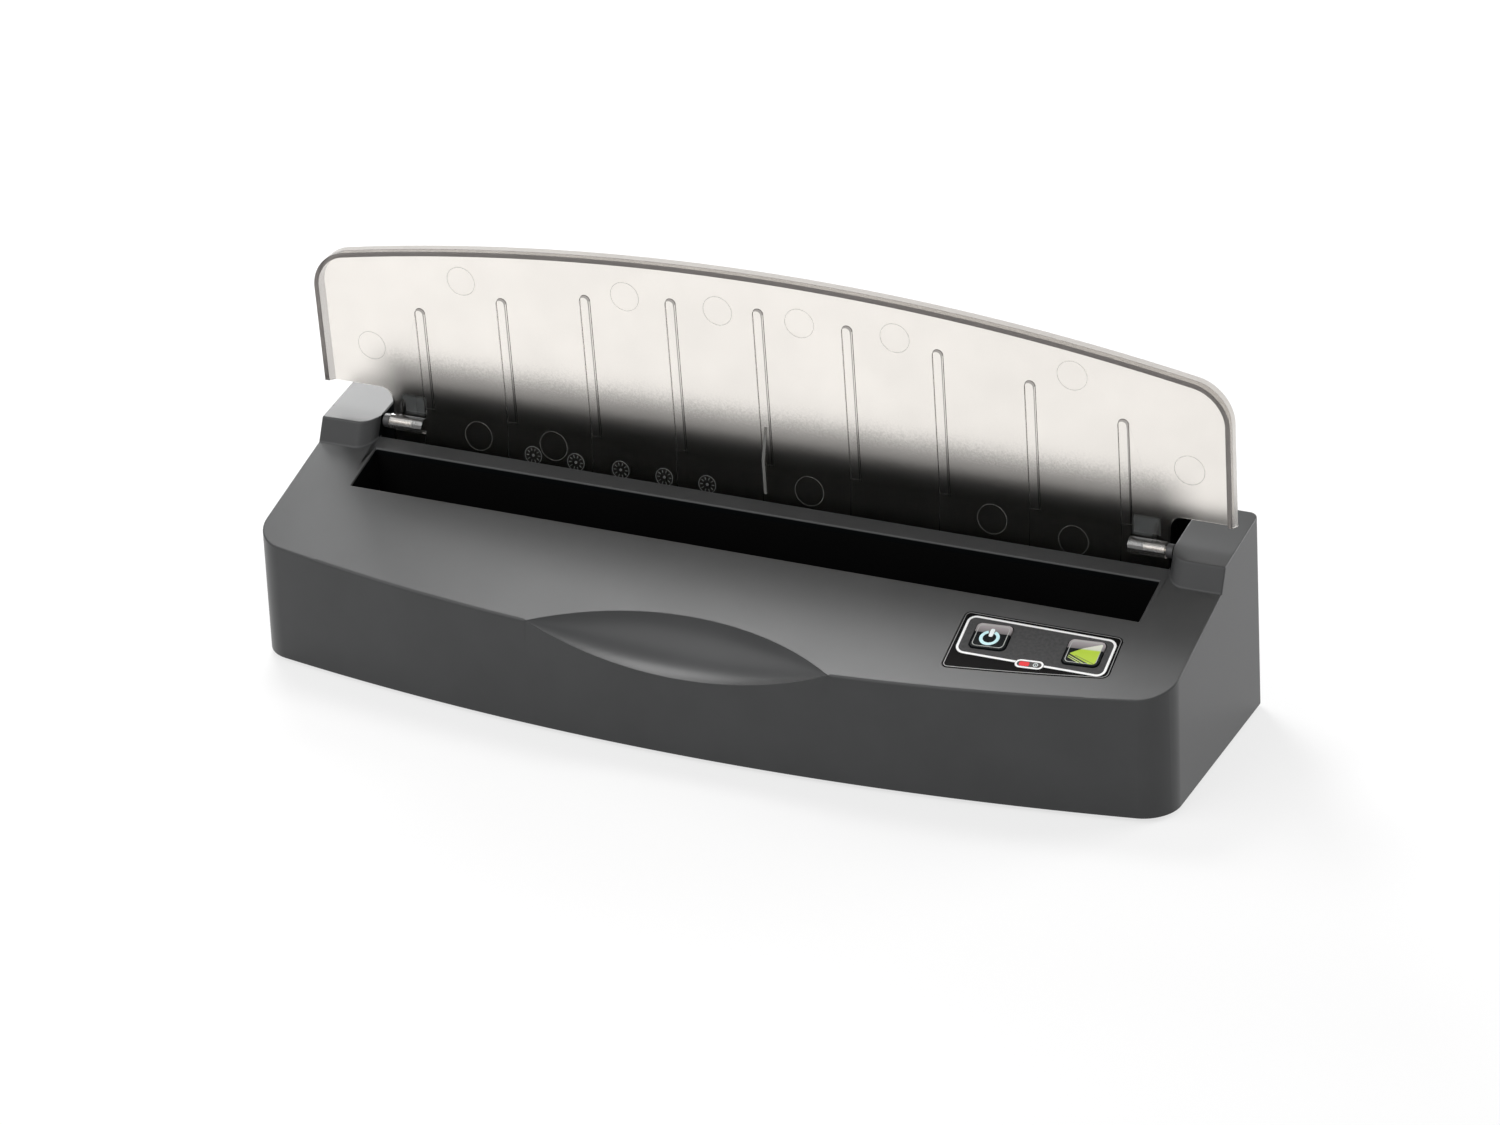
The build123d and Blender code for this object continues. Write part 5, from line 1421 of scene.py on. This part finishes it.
class BINDER_OT_keys(bpy.types.Operator):
    """Make the power and start keys with their symbols"""

    bl_idname = "binder.keys"
    bl_label = "Keys"

    def execute(self, context):
        g = layout(context.scene)
        p = millimetres(context.scene.binder_panel)
        finish = context.scene.binder_finish
        gloss = gradient_gloss("key_gloss", finish.key, finish.key_sky, 0.62, 0.02)
        outline = ink("key_outline", (0.42, 0.44, 0.42), spread=0.03)
        for name, x in (("power", p.power_x), ("start", p.start_x)):
            body, place = f"{name}_key", key_frame(g, p, x, p.key_back)
            key = key_shape(p)
            add_face_map(key, p.key_width, p.key_depth)
            move(key, place)
            complete(f"{name}_key_cap", key, body, [gloss], [f"{name}_button"])
            border = ring(
                corners(p.key_width - 1.7, p.key_depth - 1.7), [p.key_corner - 0.3] * 4, 0.24,
                PRINT, place @ at(0, 0, p.key_rise - PRINT / 4),
            )
            complete(f"{name}_key_outline", border, body, [outline])
        self.power_symbol(key_frame(g, p, p.power_x, p.key_back, p.key_rise), finish)
        self.booklet(key_frame(g, p, p.start_x, p.key_back, p.key_rise), p, finish)
        return {"FINISHED"}

    def power_symbol(self, place, finish):
        """A broken ring with a bar standing in its gap."""
        place = place @ at(-0.3, -0.9)
        broken = arc_bar(3.0, 1.25, math.radians(112), math.radians(316), PRINT * 1.5, 40)
        cyan = ink("symbol_cyan", finish.symbol)
        complete("power_symbol_ring", move(broken, place), "power_key", [cyan])
        bar = plate(1.5, 3.9, PRINT * 1.8, place @ at(0.1, 2.55), 0.6)
        white = ink("symbol_white", (0.86, 0.93, 0.94), spread=0.02)
        complete("power_symbol_bar", bar, "power_key", [white])

    def booklet(self, place, p, finish):
        """A plain bound booklet: its cover, its page edges and the lines between them."""

        def spot(u, v):
            return Vector(((u - 0.5) * p.key_width, (v - 0.5) * p.key_depth))

        outline = ((0.13, 0.41), (0.74, 0.07), (0.91, 0.08), (0.93, 0.90), (0.46, 0.67))
        cover = prism([spot(*uv) for uv in outline], PRINT, Matrix(), [0.4, 0.3, 0.9, 0.7, 0.8], 4)
        add_face_map(cover, p.key_width, p.key_depth)
        lime = gradient_gloss("booklet_lime", finish.booklet, (0.90, 0.92, 0.80), 0.60, 0.05, 0.8)
        complete("booklet_cover", move(cover, place), "start_key", [lime])
        page_ends = (((0.13, 0.33), (0.60, 0.075)), ((0.13, 0.265), (0.48, 0.075)))
        line_ends = (((0.17, 0.345), (0.70, 0.09)), ((0.30, 0.355), (0.86, 0.10)))
        for name, colour, ends, half, depth in (
            ("booklet_pages", (0.55, 0.70, 0.16), page_ends, 0.16, PRINT),
            ("booklet_lines", (0.03, 0.05, 0.01), line_ends, 0.09, PRINT * 1.5),
        ):
            bars = [stripe(spot(*low), spot(*high), half, depth, place) for low, high in ends]
            complete(name, gather(bars), "start_key", [ink(name, colour, 0.35)])


class BINDER_OT_indicator(bpy.types.Operator):
    """Make the indicator lens with its red half and a plain mark"""

    bl_idname = "binder.indicator"
    bl_label = "Indicator"

    def execute(self, context):
        g = layout(context.scene)
        p = millimetres(context.scene.binder_panel)
        finish = context.scene.binder_finish
        place = key_frame(g, p, p.lens_x, p.lens_back)
        long, wide = p.lens_length, p.lens_width
        lens = pill(long, wide, LENS_DEPTH + CLOSE, at(0, 0, -LENS_DEPTH), 12)
        bevel(lens, edges_at(lens, 2, CLOSE), LENS_EDGE, 3)
        flange = pill(long + 1.2, wide + 1.2, FLANGE_THICK, at(0, 0, -LENS_FLANGE_BACK), 12)
        move(combine(lens, flange, "UNION"), place)
        dark = moulded(
            "indicator_dark", (0.055, 0.045, 0.045), 0.3, 900.0, 0.05, 0.2, specular=0.12
        )
        complete("indicator", lens, "machine", [dark], ["indicator_lens"])
        window = plate(3.6, 2.1, PRINT, place @ at(-1.8, 0, 0.01), 0.7)
        red = moulded("indicator_red", finish.lamp, 0.3, 900.0, 0.05, 0.25, specular=0.12)
        complete("indicator_window", window, "machine", [red])
        mark = gather([hoop(0.78, 0.3, PRINT), rod(0.25, PRINT, at(), 16)])
        move(mark, place @ at(2.3, 0, 0.01))
        pale = ink("indicator_mark", (0.55, 0.62, 0.62), 0.35)
        complete("indicator_mark", mark, "machine", [pale])
        return {"FINISHED"}


# ------------------------------------------------------------------ small fittings
WASHER_RADIUS, WASHER_THICK, WASHER_GAP = 2.6, 2.4, 0.3  # the gap is to the lid's tail, in mm
SLEEVE_GAP, SLEEVE_WALL = 0.06, 0.1  # the clear sleeves' middle over the barrels, in mm
FOOT_RADIUS, FOOT_EDGE, FOOT_GROOVE = 7.0, 0.45, 1.0  # in mm
INLET_DEPTH = 17.0  # the inlet's body, in mm
INLET_FLANGE = (24.4, 17.0, 2.0)  # in mm; it grips the casing's wall from inside
INLET_FLANGE_BACK = 4.55  # from the inlet's mouth to the flange's back, in mm
INLET_RECESS = (15.2, 8.2, 12.0)  # in mm
INLET_PIN, INLET_PIN_ASIDE, INLET_PIN_BACK = 1.2, 4.3, 23.0  # in mm


def lid_barrel_sleeve(g, lid, side):
    """A thin clear sleeve on a hinge barrel, cut off where it meets the plate and the tail."""
    start = min(side * (lid.tail_half - lid.barrel_length), side * lid.tail_half) + 0.2
    radius, long = lid.barrel + SLEEVE_GAP, lid.barrel_length - 0.4
    sleeve = hoop(radius, SLEEVE_WALL, long, 48, at(start) @ ALONG)
    tail = Matrix.Rotation(-lid.tail_bend, 4, "X")
    for turned, depth in ((Matrix(), lid.outer), (tail, g.block_rise)):
        behind = block((-FAR, -FAR, -FAR), (FAR, FAR, lid.plate * 0.7 - depth))
        combine(sleeve, move(behind, turned))
    return sleeve


class BINDER_OT_hinge(bpy.types.Operator):
    """Turn the hinge pins and washers, and sleeve the lid's barrels"""

    bl_idname = "binder.hinge"
    bl_label = "Hinge pins, washers and sleeves"

    def execute(self, context):
        g = layout(context.scene)
        lid = millimetres(context.scene.binder_lid)
        axis, tail = at(0, g.hinge.y, g.hinge.z), lid.tail_half
        pins, washers = [], []
        for side in (-1, 1):
            near, far = tail - PIN_INSIDE, tail + PIN_OUTSIDE
            pin = side_rod(axis, side, near, far, PIN_RADIUS)
            bevel(pin, edges_at(pin, 0, side * near, side * far), 0.3, 3)
            pins.append(pin)
            near, far = tail + WASHER_GAP, tail + WASHER_GAP + WASHER_THICK
            washer = side_rod(axis, side, near, far, WASHER_RADIUS, 48)
            low = min(side * near, side * far) - 1
            combine(washer, rod(PIN_BORE, WASHER_THICK + 1.6, axis @ at(low) @ ALONG, 40))
            bevel(washer, edges_at(washer, 0, side * near, side * far), 0.18, 2)
            washers.append(washer)
        steel = metal("pin_steel", (0.62, 0.61, 0.60), 0.28)
        complete("hinge_pin_pair", gather(pins), "machine", [steel], ["hinge_pins"])
        sleeves = [lid_barrel_sleeve(g, lid, side) for side in (-1, 1)]
        shine = smoky("barrel_gloss", (0.9, 0.89, 0.88), 0.06, 300.0, 0.02, bend=1.7)
        fix_to_lid(g, lid, "lid_barrel_pair", sleeves, shine)
        dark = [moulded("washer_plastic", (0.045, 0.045, 0.047), 0.4)]
        washers = gather(washers)
        complete("hinge_washer_pair", washers, "machine", dark, ["hinge_washers"])
        return {"FINISHED"}


class BINDER_OT_feet(bpy.types.Operator):
    """Mould the four rubber feet"""

    bl_idname = "binder.feet"
    bl_label = "Rubber feet"

    def execute(self, context):
        low, high = frame_box("rubber_feet")
        feet = []
        for x in (low.x + FOOT_RADIUS, high.x - FOOT_RADIUS):
            for y in (low.y + FOOT_RADIUS, high.y - FOOT_RADIUS):
                foot = rod(FOOT_RADIUS, high.z - low.z, at(x, y, low.z), 64)
                bevel(foot, edges_at(foot, 2, low.z), FOOT_EDGE, 4)
                place = at(x, y, low.z - 0.35)
                feet.append(combine(foot, hoop(FOOT_RADIUS - 2.4, FOOT_GROOVE, 0.7, 64, place)))
        rubber = moulded("foot_rubber", (0.022, 0.022, 0.022), 0.78, 1500.0, 0.4, 0.15)
        complete("foot_set", gather(feet), "machine", [rubber], ["rubber_feet"])
        return {"FINISHED"}


class BINDER_OT_inlet(bpy.types.Operator):
    """Make the mains inlet at the back with its two pins"""

    bl_idname = "binder.inlet"
    bl_label = "Mains inlet"

    def execute(self, context):
        place = inlet_place()
        inverse = place.inverted()
        back = place @ at(0, 0, -INLET_DEPTH)
        body = plate(INLET_WIDE, INLET_HIGH, INLET_DEPTH, back, INLET_CORNER, 10)
        combine(body, plate(*INLET_FLANGE, place @ at(0, 0, -INLET_FLANGE_BACK), 1.0), "UNION")
        wide, high, deep = INLET_RECESS
        recess = plate(wide, high, deep + 1, place @ at(0, 0, -deep), high / 2 - 0.05, 12)
        combine(body, recess)
        for axis in (0, 2):
            split(body, axis, place.translation[axis])
        soften(body, lambda middle: 0.3 if abs((inverse @ middle).z) < CLOSE else 0.0)
        black = moulded("inlet_black", (0.020, 0.020, 0.021), 0.38, 2200.0, 0.08)
        complete("inlet_body", body, "machine", [black], ["mains_inlet"])
        pins = []
        for x in (-INLET_PIN_ASIDE, INLET_PIN_ASIDE):
            pin = rod(INLET_PIN, INLET_PIN_BACK - 2.5, place @ at(x, 0, -INLET_PIN_BACK), 32)
            bevel(pin, edges_where(pin, lambda co: (inverse @ co).z > -2.6), 0.5, 4)
            pins.append(pin)
        steel = metal("inlet_pin_steel", (0.66, 0.64, 0.60), 0.3, (40, 1, 40))
        complete("inlet_pin_pair", gather(pins), "machine", [steel], ["inlet_pins"])
        return {"FINISHED"}


class BINDER_OT_inside(bpy.types.Operator):
    """Finish the parts inside the casing and its base"""

    bl_idname = "binder.inside"
    bl_label = "Inner parts"

    def execute(self, context):
        base = context.scene.binder_finish.base
        # Painted shade: the slot's liner is black plastic made darker still, and the heater plate's
        # metal is nearly black, so the slot reads as deep shade.
        liner = (0.004, 0.004, 0.004)
        for material, names in (
            (moulded("base_black", base, 0.55, 1800.0, 0.2), "base_plate"),
            (moulded("liner_painted_shade", liner, 0.85, 1500.0, 0.2, specular=0.02), "slot_liner"),
            (metal("hot_plate_painted_shade", (0.007, 0.007, 0.007), 0.6, (1, 30, 30)), "heater_plate"),
            (
                moulded("mica_layers", (0.30, 0.22, 0.14), 0.5, 900.0, 0.2, 0.3),
                "element_insulator heating_element",
            ),
            (
                metal("screw_steel", (0.50, 0.50, 0.50), 0.35, (30, 30, 1)),
                "base_screws liner_screws clamp_screws bracket_screws board_screws "
                "power_board_screws",
            ),
            (
                metal("sheet_steel", (0.42, 0.42, 0.42), 0.4),
                "element_clamp heater_brackets fuse_clip relay",
            ),
            (metal("tinned_leads", (0.60, 0.57, 0.50), 0.35), "thermal_fuse indicator_led"),
            (moulded("fuse_plastic", (0.06, 0.045, 0.03), 0.4), "thermostat"),
            (
                moulded("switch_black", (0.02, 0.02, 0.02), 0.4),
                "power_switch_plunger start_switch_plunger switch_bodies buzzer",
            ),
            (
                moulded("board_green", (0.02, 0.10, 0.045), 0.35, 1500.0, 0.1, 0.2),
                "control_board power_board",
            ),
            (moulded("winding_tape", (0.55, 0.42, 0.10), 0.45, 900.0, 0.15, 0.15), "transformer"),
            (moulded("capacitor_sleeve", (0.03, 0.05, 0.16), 0.35), "capacitor"),
            (moulded("terminal_green", (0.05, 0.22, 0.12), 0.45), "terminal_block"),
        ):
            for name in names.split():
                for holder in frame["nodes"][name].material_slots:
                    holder.material = material
        return {"FINISHED"}


# ------------------------------------------------------------------ stage
AIM = Vector((0.006812, -0.002802, 0.054234))  # what the camera looks at, in metres
FLOOR_DROP = 0.0001  # the floor lies this far under the feet, in metres


def view_axes(stage):
    """The camera's right, up and backward directions."""
    az, el, roll = stage.azimuth, stage.elevation, stage.roll
    back = Vector((math.sin(az) * math.cos(el), -math.cos(az) * math.cos(el), math.sin(el)))
    right = Vector((math.cos(az), math.sin(az), 0))
    up = back.cross(right)
    turned_right = right * math.cos(roll) + up * math.sin(roll)
    turned_up = up * math.cos(roll) - right * math.sin(roll)
    return turned_right, turned_up, back


def area_lamp(name, place, aim, wide, deep, power):
    """A soft rectangular lamp turned to a point; places and sizes are in metres."""
    data = bpy.data.lights.new(name, "AREA")
    data.shape = "RECTANGLE"
    data.size, data.size_y = wide, deep
    data.energy = power
    lamp = bpy.data.objects.new(name, data)
    lamp.location = place
    lamp.rotation_euler = (Vector(aim) - Vector(place)).to_track_quat("-Z", "Y").to_euler()
    bpy.context.scene.collection.objects.link(lamp)


def shown_as(tree, lit, seen, output):
    """Use one shader for the light that it gives, and another where it is seen directly."""
    path = node(tree, "LightPath")
    first = node(tree, "Math", operation="MAXIMUM")
    link(tree, path.outputs["Is Camera Ray"], first, 0)
    link(tree, path.outputs["Is Glossy Ray"], first, 1)
    second = link(tree, first.outputs[0], node(tree, "Math", operation="MAXIMUM"), 0)
    link(tree, path.outputs["Is Transmission Ray"], second, 1)
    mix = link(tree, second.outputs[0], node(tree, "MixShader"), 0)
    link(tree, lit.outputs[0], mix, 1)
    link(tree, seen.outputs[0], mix, 2)
    link(tree, mix.outputs[0], tree.nodes[output], "Surface")


def floor_material(colour):
    """A pale floor that looks almost white and keeps the machine's shadow."""
    material = bpy.data.materials.new("pale_floor")
    material.use_nodes = True
    tree = material.node_tree
    tree.nodes.remove(tree.nodes["Principled BSDF"])
    lit = node(tree, "BsdfDiffuse", {"Color": (*colour, 1)})
    dim = node(tree, "BsdfDiffuse", {"Color": (*[c * 0.35 for c in colour], 1)})
    glow = node(tree, "Emission", {"Strength": 0.70})
    both = link(tree, dim.outputs[0], node(tree, "AddShader"), 0)
    link(tree, glow.outputs[0], both, 1)
    shown_as(tree, lit, both, "Material Output")
    return material


class BINDER_OT_stage(bpy.types.Operator):
    """Set the plain pale floor, the soft lamps and the camera"""

    bl_idname = "binder.stage"
    bl_label = "Stage"

    def execute(self, context):
        scene, stage = context.scene, context.scene.binder_stage
        scene.view_settings.view_transform = "Standard"
        world = bpy.data.worlds.new("even_room")
        world.use_nodes = True
        scene.world = world
        tree = world.node_tree
        plain = tree.nodes["Background"]
        plain.inputs["Color"].default_value = (1, 1, 1, 1)
        plain.inputs["Strength"].default_value = stage.room
        seen = node(tree, "Background", {"Color": (1, 1, 1, 1), "Strength": 1.0})
        shown_as(tree, plain, seen, "World Output")

        bm = bmesh.new()
        bmesh.ops.create_circle(
            bm, cap_ends=True, segments=96, radius=9.0, matrix=at(0, 0, -FLOOR_DROP)
        )
        mesh = bpy.data.meshes.new("floor")
        bm.to_mesh(mesh)
        bm.free()
        floor = bpy.data.objects.new("floor", mesh)
        scene.collection.objects.link(floor)
        mesh.materials.append(floor_material(stage.floor))

        area_lamp("rear_lamp", (-0.62, 0.78, 0.66), (-0.15, 0.03, 0.07), 0.4, 0.3, stage.rear)
        area_lamp("overhead_lamp", (-0.36, 0.36, 0.92), (0, -0.03, 0.05), 0.35, 0.3, stage.overhead)
        area_lamp("front_lamp", (-0.55, -0.8, 0.95), (0, 0, 0.05), 1.3, 0.9, stage.front)
        area_lamp("side_lamp", (1.0, 0.9, 0.45), (0, 0, 0.06), 0.8, 0.8, stage.side)

        right, up, back = view_axes(stage)
        data = bpy.data.cameras.new("camera")
        data.sensor_width = 36.0
        data.sensor_fit = "HORIZONTAL"
        data.lens = stage.lens
        data.clip_end = 50.0
        camera = bpy.data.objects.new("camera", data)
        turned = Matrix((right, up, back)).transposed().to_4x4()
        camera.matrix_world = Matrix.Translation(AIM + back * stage.distance) @ turned
        scene.collection.objects.link(camera)
        scene.camera = camera
        return {"FINISHED"}


class BINDER_PT_sidebar(bpy.types.Panel):
    """Lists the pieces of the binding machine"""

    bl_label = "Binding machine"
    bl_idname = "BINDER_PT_sidebar"
    bl_space_type = "VIEW_3D"
    bl_region_type = "UI"
    bl_category = "Binder"

    def draw(self, context):
        for operator in OPERATORS:
            self.layout.operator(operator.bl_idname)
        for group in GROUPS:
            box = self.layout.box()
            settings = getattr(context.scene, group)
            for key in setting_names(settings):
                box.prop(settings, key)


OPERATORS = (
    BINDER_OT_stage,
    BINDER_OT_casing,
    BINDER_OT_lid,
    BINDER_OT_hinge,
    BINDER_OT_panel,
    BINDER_OT_keys,
    BINDER_OT_indicator,
    BINDER_OT_feet,
    BINDER_OT_inlet,
    BINDER_OT_inside,
)
CLASSES = (*GROUPS.values(), *OPERATORS, BINDER_PT_sidebar)


def register():
    """Make the sizes, operators and panel known to Blender."""
    for item in CLASSES:
        bpy.utils.register_class(item)
    for name, group in GROUPS.items():
        setattr(bpy.types.Scene, name, bpy.props.PointerProperty(type=group))


def unregister():
    """Take the sizes, operators and panel out of Blender again."""
    for name in GROUPS:
        delattr(bpy.types.Scene, name)
    for item in reversed(CLASSES):
        bpy.utils.unregister_class(item)


def main():
    """Make every piece in order."""
    register()
    for operator in OPERATORS:
        area, name = operator.bl_idname.split(".")
        getattr(getattr(bpy.ops, area), name)()


if __name__ == "__main__":
    main()
